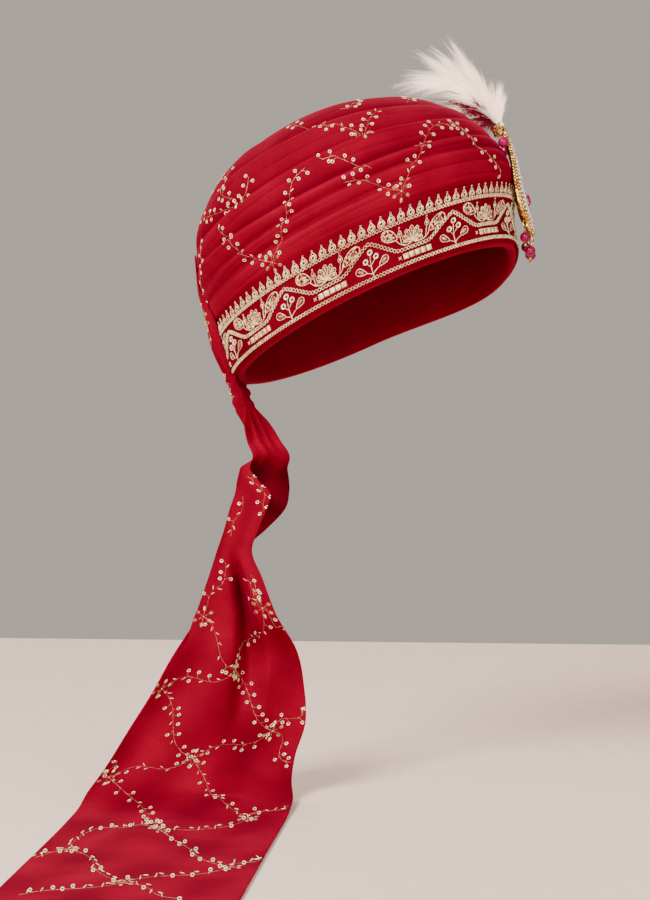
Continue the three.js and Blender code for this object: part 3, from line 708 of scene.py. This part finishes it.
def vine(work, control, leafy, spacing, first=1):
    """A thin stem with sequins on curved stalks and small leaves, left and right in turn."""
    path = smooth_path(control, 8)
    per = work.per_mm(path[:, 0], path[:, 1])
    step = np.diff(path, axis=0) / per[:-1]
    run = np.concatenate([[0], np.cumsum(np.linalg.norm(step, axis=-1))])
    heading = np.unwrap(np.arctan2(step[:, 1], step[:, 0]))
    heading = np.concatenate([heading, heading[-1:]])
    work.trail(path, 0.24, 0.32, COPPER)
    at = np.arange(2.4, run[-1] + 0.6, spacing)
    at = at + rng.uniform(-1.4, 1.4, len(at))
    u, v, way = (np.interp(at, run, x) for x in (path[:, 0], path[:, 1], heading))
    scale = work.per_mm(u, v)
    side = np.where(np.arange(len(at)) % 2, first, -first)
    leaf = rng.random(len(at)) < leafy
    keep = rng.random(len(at)) < 0.8
    u, v, way, scale, side, leaf = (x[keep] for x in (u, v, way, scale, side, leaf))
    reach = rng.uniform(0.7, 1.3, len(u))
    for which in (-1, 1):
        pick = (side == which) & ~leaf
        if pick.any():
            work.lay(STALKS[which], u[pick], v[pick], way[pick], reach[pick], reach[pick], thread=COPPER)

    def beside(forward, out):
        du = (forward * np.cos(way) - side * out * np.sin(way)) * reach * scale[:, 0]
        dv = (forward * np.sin(way) + side * out * np.cos(way)) * reach * scale[:, 1]
        return u + du, v + dv

    dot_u, dot_v = beside(2.6, 3.7)
    work.sequins(dot_u[~leaf], dot_v[~leaf])
    leaf_u, leaf_v = beside(2.2, 1.5)
    if leaf.any():
        turn = (way + side * 0.65)[leaf]
        stand = work.stand(leaf_v[leaf]) if work.stand else 0.0
        work.lay(STITCH, leaf_u[leaf], leaf_v[leaf], turn, 4.0, 0.9, 0.45, GOLD, 0.0, stand, 2.1)


def flower(work, u, v, spin=0.0, size=1.0):
    """Six satin petals of three stitches each, on thin stems from one point."""
    u, v = np.atleast_1d(np.asarray(u, float)), np.atleast_1d(np.asarray(v, float))
    per = work.per_mm(u, v)
    stem_at, petal_at = 2.2, 5.9
    for k in range(6):
        angle = spin + k * np.pi / 3
        c, s = math.cos(angle), math.sin(angle)
        bright = GOLD if k % 3 == 1 else COPPER
        work.lay(STITCH, u + stem_at * c * per[:, 0], v + stem_at * s * per[:, 1], angle,
                 2 * stem_at, 0.3, 0.35, COPPER)
        for aside, length, thread in ((-0.7, 3.9, COPPER), (0, 5.0, bright), (0.7, 3.9, bright)):
            du = (petal_at * c - aside * s) * size
            dv = (petal_at * s + aside * c) * size
            work.lay(STITCH, u + du * per[:, 0], v + dv * per[:, 1], angle,
                     length * size, 0.9 * size, 0.5, thread)
    work.lay(KNOT, u, v, 0, 0.6, 0.6, 0.5, GOLD)


# Border band: distance round the rim from a lotus, and height over the rim
LOTUS_TURN = math.radians(-103)
REPEATS = 10
# Lotus petals: degrees from upright and length
LOTUS_PETALS = ((0, 10.4), (28, 10.0), (-28, 10.0), (56, 9.0), (-56, 9.0), (82, 7.6), (-82, 7.6))
# Paisley leaves beside it: middle, height, degrees and stretch
PAISLEYS = ((-17.5, 24.2, 138, 0.88), (19.7, 23.2, 22, 1.06))
PAISLEY_STITCHES = 36
arc_turns = LOTUS_TURN + np.linspace(0, 2 * np.pi, 1441)
arc_run = run_along(cap_point(arc_turns, BAND_TOP / 2, 0.0)) / MM
PERIOD = arc_run[-1] / REPEATS


def on_band(u, v, z):
    turn = np.interp(np.asarray(u) % arc_run[-1], arc_run, arc_turns)
    return cap_point(turn, v, band_lift(turn, v) + z)


def spaced(points, pitch):
    points = np.asarray(points, float)
    run = run_along(points)
    at = np.linspace(0, run[-1], int(round(run[-1] / pitch)), endpoint=False)
    return np.interp(at, run, points[:, 0]), np.interp(at, run, points[:, 1])


def make_band_embroidery():
    work = Needlework(on_band)
    lotus = np.arange(REPEATS) * PERIOD
    half = PERIOD / 2

    def lay(shape, du, v, angle=0.0, length=1.0, width=1.0, height=0.6, thread=GOLD, tilt=0.0):
        du, *rest = floats(np.atleast_1d(du), v, angle, length, width, height)
        work.lay(shape, (lotus[:, None] + du).ravel(), *(np.tile(x, REPEATS) for x in rest), thread, tilt)

    def line(points, width=0.8):
        path = smooth_path(points, 3)
        for centre in lotus:
            work.trail(path + (centre, 0), width, 0.6, GOLD)

    ring_pitch = 2.7
    rings = np.linspace(0, arc_run[-1], int(arc_run[-1] / ring_pitch), endpoint=False)
    for height in (3.2, 31.0):
        work.lay(RING, rings, height, 0, 1.4, 1.4, 1.3, GOLD)
    zigzag = [(-half, 25.6), (-half + 3, 24.4), (-14.5, 14.2), (-11, 13.0), (11, 13.0), (14.5, 14.2),
              (half - 3, 24.4), (half, 25.6)]
    lay(RING, *spaced(zigzag, ring_pitch), 0, 1.45, 1.45, 1.3)
    teeth = (np.arange(9) - 4) * PERIOD / 9
    lay(TOOTH, teeth, 32.2, 0, 1.2, 1.02)
    lay(SEQUIN, teeth, 34.5, 0, 1.9, 1.9, 0.7, GOLD, 0.1)
    # Near-black knot in each tooth sequin's hole, painted shade.
    lay(KNOT, teeth, 34.5, 0, 1.0, 1.0, 0.7, HOLE_SHADE)
    lay(RING, teeth, 39.0, 0, 0.75, 0.75, 0.6)
    tiles = 2 + (np.arange(5) - 2) * 4.6
    tile_row = 8.4
    lay(TILE, tiles, tile_row, 0, 4.1, 4.1, 0.9, GOLD, 0.05)
    lay(RING, tiles, tile_row, 0, 1.3, 1.3, 1.4, COPPER)
    for angle in (0.8, -0.8):
        lay(STITCH, -11.8, tile_row, angle, 4.2, 0.9, 0.6)
    lotus_foot = 16.4
    for degrees, length in LOTUS_PETALS:
        angle = math.radians(90 + degrees)
        c, s = math.cos(angle), math.sin(angle)
        lay(PETAL, 0, lotus_foot, angle, length / 10, 0.85, 0.9)
        middle, tip = 0.62 * length, 0.8 * length
        lay(STITCH, middle * c, lotus_foot + middle * s, angle, 5.0, 1.8, 0.6, COPPER)
        lay(KNOT, tip * c, lotus_foot + tip * s, 0, 0.7, 0.7, 1.0)
    lay(KNOT, (0, -2.6, 2.6), (17.2, 16.2, 16.2), 0, 1.1, 1.1, 0.9)
    for centre, height, degrees, stretch in PAISLEYS:
        angle = math.radians(degrees)
        lay(PAISLEY, centre, height, angle + np.pi, stretch, 0.95, 1.0)
        for k in range(PAISLEY_STITCHES):
            x = rng.uniform(-5.8, 4.6)
            y = rng.uniform(-1, 1) * 2.9 * min(1, (7.4 - x) / 7)
            x = x * stretch
            du = -x * math.cos(angle) + y * math.sin(angle)
            dv = -x * math.sin(angle) - y * math.cos(angle)
            thread = (COPPER, GOLD)[k % 2]
            lay(STITCH, centre + du, height + dv, rng.uniform(0, np.pi), 2.6, 1.1, 0.8, thread)
    line([(-1.5, 15.6), (-6, 15.4), (-10, 17.4), (-12.5, 20.2)])
    line([(1.5, 15.6), (7, 15.2), (11.5, 17.0), (14.2, 20.6)])
    for foot, top, height in ((-8.6, -9.6, 22.4), (10.2, 12.0, 23.6)):
        line([(foot, 16.6), (0.6 * foot + 0.4 * top, 19.5), (top, height)], 0.7)
        lay(TOOTH, top, height - 0.6, 0, 0.75, 0.78)
        lay(KNOT, top, height + 1.1, 0, 1.1, 1.2, 0.9)
        lay(RING, top, height + 5.2, 0, 0.7, 0.7, 0.7)
    line([(half, 2.4), (half, 7), (half, 13)], 0.9)
    line([(half, 6.0), (half + 3, 8.0), (half + 6.5, 9.6)], 0.8)
    line([(half, 6.0), (half - 2.5, 7.4), (half - 5, 8.4)], 0.8)
    buds, bud_heights = half + np.array([0.5, 4.5, -3.5]), (20.2, 16.4, 15.4)
    lay(SEQUIN, buds, bud_heights, 0, 2.0, 2.0, 0.9, SEQUIN_FOIL, DOT_TILT)
    # Near-black knot in each bud sequin's hole, painted shade.
    lay(KNOT, buds, bud_heights, 0, 0.95, 0.95, 0.9, HOLE_SHADE)
    line([(half, 12), (half + 2.4, 14), (half + 4, 15.2)], 0.6)
    line([(half, 11), (half - 2, 13), (half - 3, 14.2)], 0.6)
    line([(half, 13), (half + 0.3, 16), (half + 0.5, 18.6)], 0.6)
    for at, height, degrees in ((9.4, 11.6, 32), (-7.8, 10.2, 152)):
        angle = math.radians(degrees)
        c, s = math.cos(angle), math.sin(angle)
        lay(PETAL, half + at - 4.2 * c, height - 4.2 * s, angle, 0.84, 1.15, 0.8)
        lay(STITCH, half + at + 0.6 * c, height + 0.6 * s, angle, 6.0, 2.9, 0.7, COPPER)
    return work.finish("band_embroidery", "border_band")


# Crown sprays: turn in degrees and height over the rim along each stem; the far side mirrors the near one
CROWN_FLOWERS = ((-122, 46), (-128, 97), (-72, 49.5), (-73.5, 99.5))
CROWN_VINES = (
    ((-122, 46), (-126.5, 52.5), (-130.5, 60), (-133.5, 66.5), (-135.5, 77), (-139.5, 85.5), (-141, 91)),
    ((-122, 46), (-119.5, 50.5), (-116.5, 54.5), (-114.5, 60.5), (-112.5, 66), (-110, 71.5)),
    ((-110, 71.5), (-109, 76), (-106.5, 83), (-103.5, 89), (-98, 92.5)),
    ((-128, 97), (-126.5, 99.5), (-124, 102), (-122, 108.5)),
    ((-128, 97), (-135.5, 99), (-143, 101), (-152, 105), (-159, 109)),
    ((-130, 101), (-136, 107), (-139.5, 112), (-142, 119.5), (-142, 127)),
    ((-72, 49.5), (-76, 54), (-77, 57), (-80.5, 63), (-83.5, 69), (-88.5, 71.5)),
    ((-78, 72), (-80, 76.5), (-83.5, 83), (-85.5, 87), (-87.5, 91), (-91.5, 92)),
    ((-72, 49.5), (-70, 54), (-67, 59.5), (-64.5, 64.5), (-60.5, 69), (-57.5, 74.5)),
    ((-57.5, 74.5), (-53.5, 81), (-49, 86.5), (-43.5, 89), (-37, 87)),
    ((-73.5, 99.5), (-76, 107), (-78, 111), (-80, 116), (-83, 117)),
    ((-83, 116), (-85.5, 122), (-90.5, 125), (-96, 133), (-101, 138), (-112.5, 141.5)),
    ((-73.5, 99.5), (-70, 105), (-65.5, 111), (-60.5, 114.5)),
    ((-71, 130), (-67, 128), (-62.5, 130.5), (-58, 129.5), (-51.5, 132.5)),
    ((-37, 92), (-33, 80), (-33.5, 71), (-32, 64.5), (-28, 58)),
    ((-28, 58), (-25, 51.5), (-22, 46)),
    ((-173, 56), (-170, 66.5), (-163, 76), (-160, 85.5), (-159, 96)),
    ((-40, 118), (-26, 125), (-12, 127), (0, 122)),
    ((-150, 131), (-160, 127), (-171, 129), (-180, 124)),
)


def on_crown(u, v, z):
    turn = np.radians(u)
    return cap_point(turn, v, crown_lift(turn, v) + z)


def make_crown_embroidery():
    work = Needlework(on_crown)
    for mirror in (1, -1):
        for k, control in enumerate(CROWN_VINES):
            vine(work, np.array(control, float) * (mirror, 1), 0.15, 3.9, mirror * (-1) ** k)
        places = np.array(CROWN_FLOWERS, float) * (mirror, 1)
        flower(work, places[:, 0], places[:, 1], 0.3, 1.0)
    work.finish("crown_embroidery", "crown")


# Tail trellis: flowers across the width and along the length, and the vines that join them with
# their share of leaves
TAIL_FLOWERS = ((56, 271), (-50, 279), (4, 317), (51, 365), (-68, 329), (-10, 383), (-67, 397), (49, 477),
                (-2, 552), (-57, 588), (58, 637), (-2, 698), (-34, 26), (30, 48), (-30, 84), (34, 104))
TAIL_VINES = (
    ((-50, 279), (4, 317), 0.85), ((56, 271), (4, 317), 0.4), ((4, 317), (51, 365), 0.05),
    ((4, 317), (-68, 329), 0.55), ((-68, 329), (-10, 383), 0.55), ((51, 365), (-10, 383), 0.25),
    ((-10, 383), (-67, 397), 0.75),
    ((49, 477), (-2, 552), 0.75), ((-2, 552), (58, 637), 0.5),
    ((-57, 588), (-2, 698), 0.55), ((58, 637), (-2, 698), 0.9), ((51, 365), (75, 345), 0.1),
    ((51, 365), (74, 392), 0.3), ((49, 477), (74, 448), 0.9), ((58, 637), (74, 612), 0.9),
    ((56, 271), (72, 284), 0.2), ((-67, 397), (-75, 382), 0.3), ((-2, 698), (-60, 735), 0.7),
    ((-34, 26), (30, 48), 0.4), ((30, 48), (-30, 84), 0.4), ((-30, 84), (34, 104), 0.4),
    ((-2, 698), (40, 735), 0.7), ((-47, 274), (-5, 241), 0.4), ((58, 268), (50, 247), 0.6),
    ((58, 268), (36, 252), 0.6), ((57, 172), (74, 198), 0.3), ((26, 187), (5, 220), 0.75),
)

# The vines that cross the bend where the tail comes down: way, share of leaves, spacing
BEND_VINES = (
    (((-67, 397), (-52, 409), (-37, 426), (-27, 449), (-17, 487), (-2, 552)), 0.2, 8.0),
    (((-10, 383), (9, 404), (19, 430), (30, 456), (49, 477)), 0.65, 5.5),
    (((-2, 552), (-16, 541), (-34, 514), (-50, 510), (-58, 545), (-57, 588)), 0.75, 7.0),
    (((-57, 588), (-64, 596), (-73, 620)), 0.8, 5.0),
)


def on_tail(u, v, z):
    rows, columns = tail_grid.shape[:2]
    u, v, z = floats(u, v, z)
    column = np.clip((u / TAIL_WIDTH + 0.5) * (columns - 1), 0, columns - 1.001)
    row = np.clip(np.interp(-v * MM, tail_run, np.arange(rows)), 0, rows - 1.001)
    i, j = row.astype(int), column.astype(int)
    a, b = (row - i)[..., None], (column - j)[..., None]

    def sample(grid):
        return lerp(lerp(grid[i, j], grid[i, j + 1], b), lerp(grid[i + 1, j], grid[i + 1, j + 1], b), a)

    return sample(tail_grid) + sample(tail_normal) * (TAIL_THICK / 2 + z)[..., None] * MM


def tail_stand(v):
    """How steeply the sequins and leaves stand up from the lying length."""
    return 0.62 * ease(-v, 410, 500)


def make_tail_embroidery():
    work = Needlework(on_tail, tail_stand)
    sway = 4.5
    for k, (start, end, leafy) in enumerate(TAIL_VINES):
        start, end = np.array(start, float) * (1, -1), np.array(end, float) * (1, -1)
        aside = np.array([start[1] - end[1], end[0] - start[0]]) / np.linalg.norm(end - start)
        wave = [start + (end - start) * t + aside * sway * math.sin(2 * math.pi * t)
                for t in np.linspace(0, 1, 7)]
        vine(work, np.array(wave), 0.85 * leafy, 3.9 if start[1] > -390 else 6.0, (-1) ** k)
    for way, leafy, spacing in BEND_VINES:
        vine(work, np.array(way, float) * (1, -1), leafy, spacing)
    places = np.array(TAIL_FLOWERS, float) * (1, -1)
    flower(work, places[:, 0], places[:, 1], 0.5, 1.05)
    return work.finish("tail_embroidery", "tail")


make_crown()
band = make_band()
tail = make_tail()
band_embroidery = make_band_embroidery()
make_crown_embroidery()
tail_embroidery = make_tail_embroidery()


# Turban jewel: its own axes on the cap, sizes in millimetres
LEAF_LEAN = math.radians(9)
LEAF_AT = np.array((135.0, 0.0, 41.0))
LEAF_AXES = np.array([(0, 1, 0), (math.sin(LEAF_LEAN), 0, math.cos(LEAF_LEAN)),
                      (math.cos(LEAF_LEAN), 0, -math.sin(LEAF_LEAN))])
LEAF_HEIGHT, LEAF_HALF, LEAF_RADIUS = 80, 19, 42


def on_jewel(points):
    return (LEAF_AT + np.asarray(points, float) @ LEAF_AXES) @ CAP_LEAN.T * MM


def leaf_edge(angle, scale, out):
    side, height = np.sin(angle), -np.cos(angle)
    w, rise = scale * np.sign(side) * np.abs(side) ** 0.35, (1 + scale * height) / 2
    x = LEAF_HALF * (0.12 + np.sin(np.pi * (0.04 + 0.92 * rise) ** 0.62) ** 1.1) * w
    lifted = 8 * w * w * (1 - rise) ** 3
    bowed = 12 * (rise - 0.62) ** 2
    return np.stack([x, (rise - 0.5) * LEAF_HEIGHT + lifted, out - x * x / (2 * LEAF_RADIUS) - bowed], -1)


def even_edge(scale, out, pitch):
    dense = leaf_edge(np.linspace(0, 2 * np.pi, 2000), scale, out)
    run = run_along(dense)
    at = np.linspace(0, run[-1], int(run[-1] / pitch), endpoint=False)
    return np.stack([np.interp(at, run, dense[:, k]) for k in range(3)], -1)


def take_shape():
    made = bpy.context.object
    mesh = made.data
    points = np.array([vertex.co for vertex in mesh.vertices], float)
    faces = [list(face.vertices) for face in mesh.polygons]
    bpy.data.objects.remove(made)
    bpy.data.meshes.remove(mesh)
    return points, faces


def strew(name, shape, places, sizes, material, slot):
    local, faces = shape
    sizes = np.broadcast_to(np.asarray(sizes, float), len(places))
    points = on_jewel((places[:, None] + local[None] * sizes[:, None, None]).reshape(-1, 3))
    many = copied_faces(faces, np.arange(len(places)) * len(local))
    settle(cloth_piece(name, points, many, [material]), slot)


def make_jewel_work():
    bpy.ops.mesh.primitive_uv_sphere_add(segments=8, ring_count=5, radius=1)
    grain = take_shape()
    bpy.ops.mesh.primitive_cone_add(vertices=8, radius1=1, radius2=0.5, depth=0.8)
    chip = take_shape()
    bpy.ops.mesh.primitive_torus_add(major_segments=12, minor_segments=5, major_radius=1, minor_radius=0.2)
    setting = take_shape()
    bpy.ops.mesh.primitive_uv_sphere_add(segments=20, ring_count=12, radius=1)
    ball = take_shape()
    rope = np.concatenate([even_edge(0.95, 1.5, 2.6), even_edge(1.0, 0.2, 2.5), even_edge(0.52, 1.2, 1.9)])
    strew("kalgi_grains", grain, rope, rng.uniform(0.95, 1.4, len(rope)), gilt, "gilt")
    inner = np.concatenate([even_edge(0.85, 2.3, 3.3), even_edge(0.40, 1.6, 3.3)])
    strew("kalgi_chips", chip, inner, 1.45, crystal, "crystal")
    strew("kalgi_settings", setting, leaf_edge(turns(12), 0.7, 1.6), 2.15, gilt, "gilt")
    arms = [(side * x, y, -1.5) for side in (-1, 1) for x, y in ((5.4, 43.9), (9.0, 43.5))]
    strew("kalgi_pearls", ball, np.array(arms), 1.75, pearl, "crystal")


def make_bead(name, node, material, slot):
    low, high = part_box(node)
    centre = (low + high) / 2
    bpy.ops.mesh.primitive_cylinder_add(vertices=16, radius=0.75 * MM, depth=10 * MM, location=centre)
    drill = bpy.context.object
    bpy.ops.mesh.primitive_uv_sphere_add(segments=40, ring_count=22, radius=3.9 * MM, location=centre)
    bead = bpy.context.object
    bead.name = name
    bpy.ops.object.transform_apply(location=True, rotation=True, scale=True)
    hole = bead.modifiers.new("hole", "BOOLEAN")
    hole.operation = "DIFFERENCE"
    hole.object = drill
    bpy.ops.object.modifier_apply(modifier="hole")
    bpy.data.objects.remove(drill)
    bpy.ops.object.shade_smooth_by_angle(angle=math.radians(40))
    bead.data.materials.append(material)
    settle(bead, slot, node)


def finish_node(name, material):
    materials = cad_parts[name].data.materials
    materials.clear()
    materials.append(material)


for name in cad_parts:
    if name == "kalgi_plate" or name.endswith(("_ring", "_pin")):
        finish_node(name, gilt)
finish_node("kalgi_crystals", crystal)
finish_node("kalgi_stone", pink)
make_jewel_work()
for number in range(1, 5):
    make_bead(f"ruby_bead_{number}", f"drop_{number}_bead", ruby, "ruby_bead")
for number in range(1, 3):
    make_bead(f"pink_bead_{number}", f"top_{number}_bead", pink, "pink_bead")


# Plume: each lock's tip from the root (back, left, up), half its width and its upward bow
PLUME_ROOT = on_jewel((0, 46.5, -5.2))
CREAM_LOCKS = (
    (-32.5, 5, 60, 6, 8), (-55.5, -8, 51, 6, 14), (-66, 7, 36, 5, 24), (-71, -10, 27, 3.5, 31),
    (-44, -18, 52, 6, 14), (-50, 16, 45, 6, 16), (-19, 12, 46, 5, 4), (3, 6, 31, 4, 2), (6, -7, 22, 3.5, 2),
    (-33, -10, 13, 3.5, 8), (-21, -15, 7, 3, 6),
)
MAROON_LOCKS = ((-36, 2, 25, 3.5, 6), (-42, -8, 19, 3, 8), (-31, -17, 14, 3, 8), (-19, -8, 20, 3, 4),
                (-25, -26, 8, 3, 8), (-20, -30, 1, 2.5, 7), (-13, -27, -4, 2.5, 6), (-6, -20, -5, 2, 5))
STRAND_POINTS = 6


def unit(vectors):
    return vectors / np.maximum(np.linalg.norm(vectors, axis=-1, keepdims=True), 1e-9)


def lock_strands(locks, count, shortest, longest, curl, mixed):
    locks = np.array(locks, float)
    first = np.repeat(np.arange(len(locks)), count)
    second = np.where(rng.random(len(first)) < mixed, rng.integers(0, len(locks), len(first)), first)
    share = rng.random((len(first), 1)) * 0.5
    rows = lerp(locks[first], locks[second], share)
    tip = rows[:, None, :3] * rng.uniform(0.74, 1.06, (len(rows), 1, 1))
    knee = 0.45 * tip + np.stack([0 * rows[:, 4], 0 * rows[:, 4], rows[:, 4]], -1)[:, None]
    s = np.linspace(0, 1, STRAND_POINTS)
    begin = rng.random(len(rows)) ** 1.4 * (1 - shortest)
    reach = np.minimum(rng.uniform(shortest, longest, len(rows)), 1.03 - begin)
    t = (begin[:, None] + reach[:, None] * s)[..., None]
    middle = 2 * (1 - t) * t * knee + t * t * tip
    flat_way = unit(np.stack([-tip[..., 1], tip[..., 0], 0 * tip[..., 0]], -1))
    thin_way = unit(np.cross(2 * (1 - 2 * t) * knee + 2 * t * tip, flat_way))
    width = 1.2 + rows[:, None, 3:4] * np.sin(np.pi * np.clip(t, 0, 1) ** 0.8) ** 0.9
    turn = rng.uniform(0, 2 * np.pi, (len(rows), 1, 1))
    rho = np.sqrt(rng.random((len(rows), 1, 1))) * (0.3 + 0.8 * s[None, :, None])
    off = rho * width * (np.cos(turn) * flat_way + 0.5 * np.sin(turn) * thin_way)
    wander = rng.normal(0, curl, (len(rows), 1, 3)) * (s ** 2)[None, :, None]
    return middle + off + wander


def down_strands(count):
    s = np.linspace(0, 1, STRAND_POINTS)[None, :, None]
    back = np.clip(rng.normal(-0.45, 0.42, count), -1.5, 0.25)
    up = np.clip(rng.normal(0.85, 0.3, count), 0.45, 1.6)
    way = unit(np.stack([back, rng.normal(0, 0.42, count), up], -1))
    length = rng.uniform(9, 22, (count, 1, 1))
    start = rng.normal(0, 1.2, (count, 1, 3))
    droop = np.stack([-0.16 * np.ones(count), np.zeros(count), np.zeros(count)], -1)[:, None]
    return start + way[:, None] * length * s + droop * length * s * s


def make_strands(name, paths, thick, material):
    along_way = unit(np.gradient(paths, axis=1))
    side = unit(np.cross(along_way, rng.normal(0, 1, (len(paths), 1, 3))))
    other = np.cross(along_way, side)
    taper = thick * np.linspace(1, 0.15, STRAND_POINTS)[None, :, None] / 2
    corners = [paths + taper * (math.cos(a) * side + math.sin(a) * other) for a in turns(3)]
    points = np.stack(corners, 2).reshape(-1, 3) * MM + PLUME_ROOT
    starts = np.arange(len(paths)) * 3 * STRAND_POINTS
    piece = cloth_piece(name, points, copied_faces(tube_faces(STRAND_POINTS), starts), [material])
    piece.visible_shadow = False
    settle(piece, "feather", "plume")


cream = np.concatenate([lock_strands(CREAM_LOCKS, 395, 0.3, 0.85, 1.2, 0.5), down_strands(1200)])
make_strands("cream_plume", cream, 0.36, cream_feather)
make_strands("maroon_plume", lock_strands(MAROON_LOCKS, 110, 0.45, 0.95, 1.6, 0.3), 0.55, maroon_feather)


# Plain pale table top and soft studio light
floor_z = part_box("tail")[0][2]


def make_stage():
    bpy.ops.mesh.primitive_plane_add(size=1, location=(0, 0, 0))
    floor = bpy.context.object
    floor.name = "table_top"
    floor.data.transform(Matrix.Translation((0, -1.1, floor_z - 0.0005)) @ Matrix.Diagonal((9, 4, 1, 1)))
    material, tree, shader = new_material("pale table")
    grain = mottled(tree, 60, 2, (0.3, (0.80, 0.60, 0.50)), (0.7, (0.84, 0.64, 0.54)))
    tree.links.new(grain, shader.inputs["Base Color"])
    shader.inputs["Roughness"].default_value = 0.9
    floor.data.materials.append(material)


def area_light(name, place, target, size, power, colour):
    data = bpy.data.lights.new(name, "AREA")
    data.size = size
    data.energy = power
    data.color = colour
    light = bpy.data.objects.new(name, data)
    bpy.context.scene.collection.objects.link(light)
    light.location = place
    light.rotation_euler = (Vector(target) - Vector(place)).to_track_quat("-Z", "Y").to_euler()


make_stage()
area_light("key", (-1.0, -1.8, 1.5), (-0.05, 0, -0.05), 0.8, 112, (1.0, 0.97, 0.94))
area_light("fill", (0.9, -2.1, 0.6), (-0.02, 0, -0.1), 1.5, 54, (1.0, 0.96, 0.93))
area_light("rim", (-0.4, 1.6, 1.5), (0, 0, 0.05), 1.2, 30, (1.0, 0.95, 0.9))
world = bpy.data.worlds.new("studio")
bpy.context.scene.world = world
world.use_nodes = True
world.node_tree.nodes["Background"].inputs["Color"].default_value = (1.0, 0.88, 0.78, 1)
world.node_tree.nodes["Background"].inputs["Strength"].default_value = 0.5
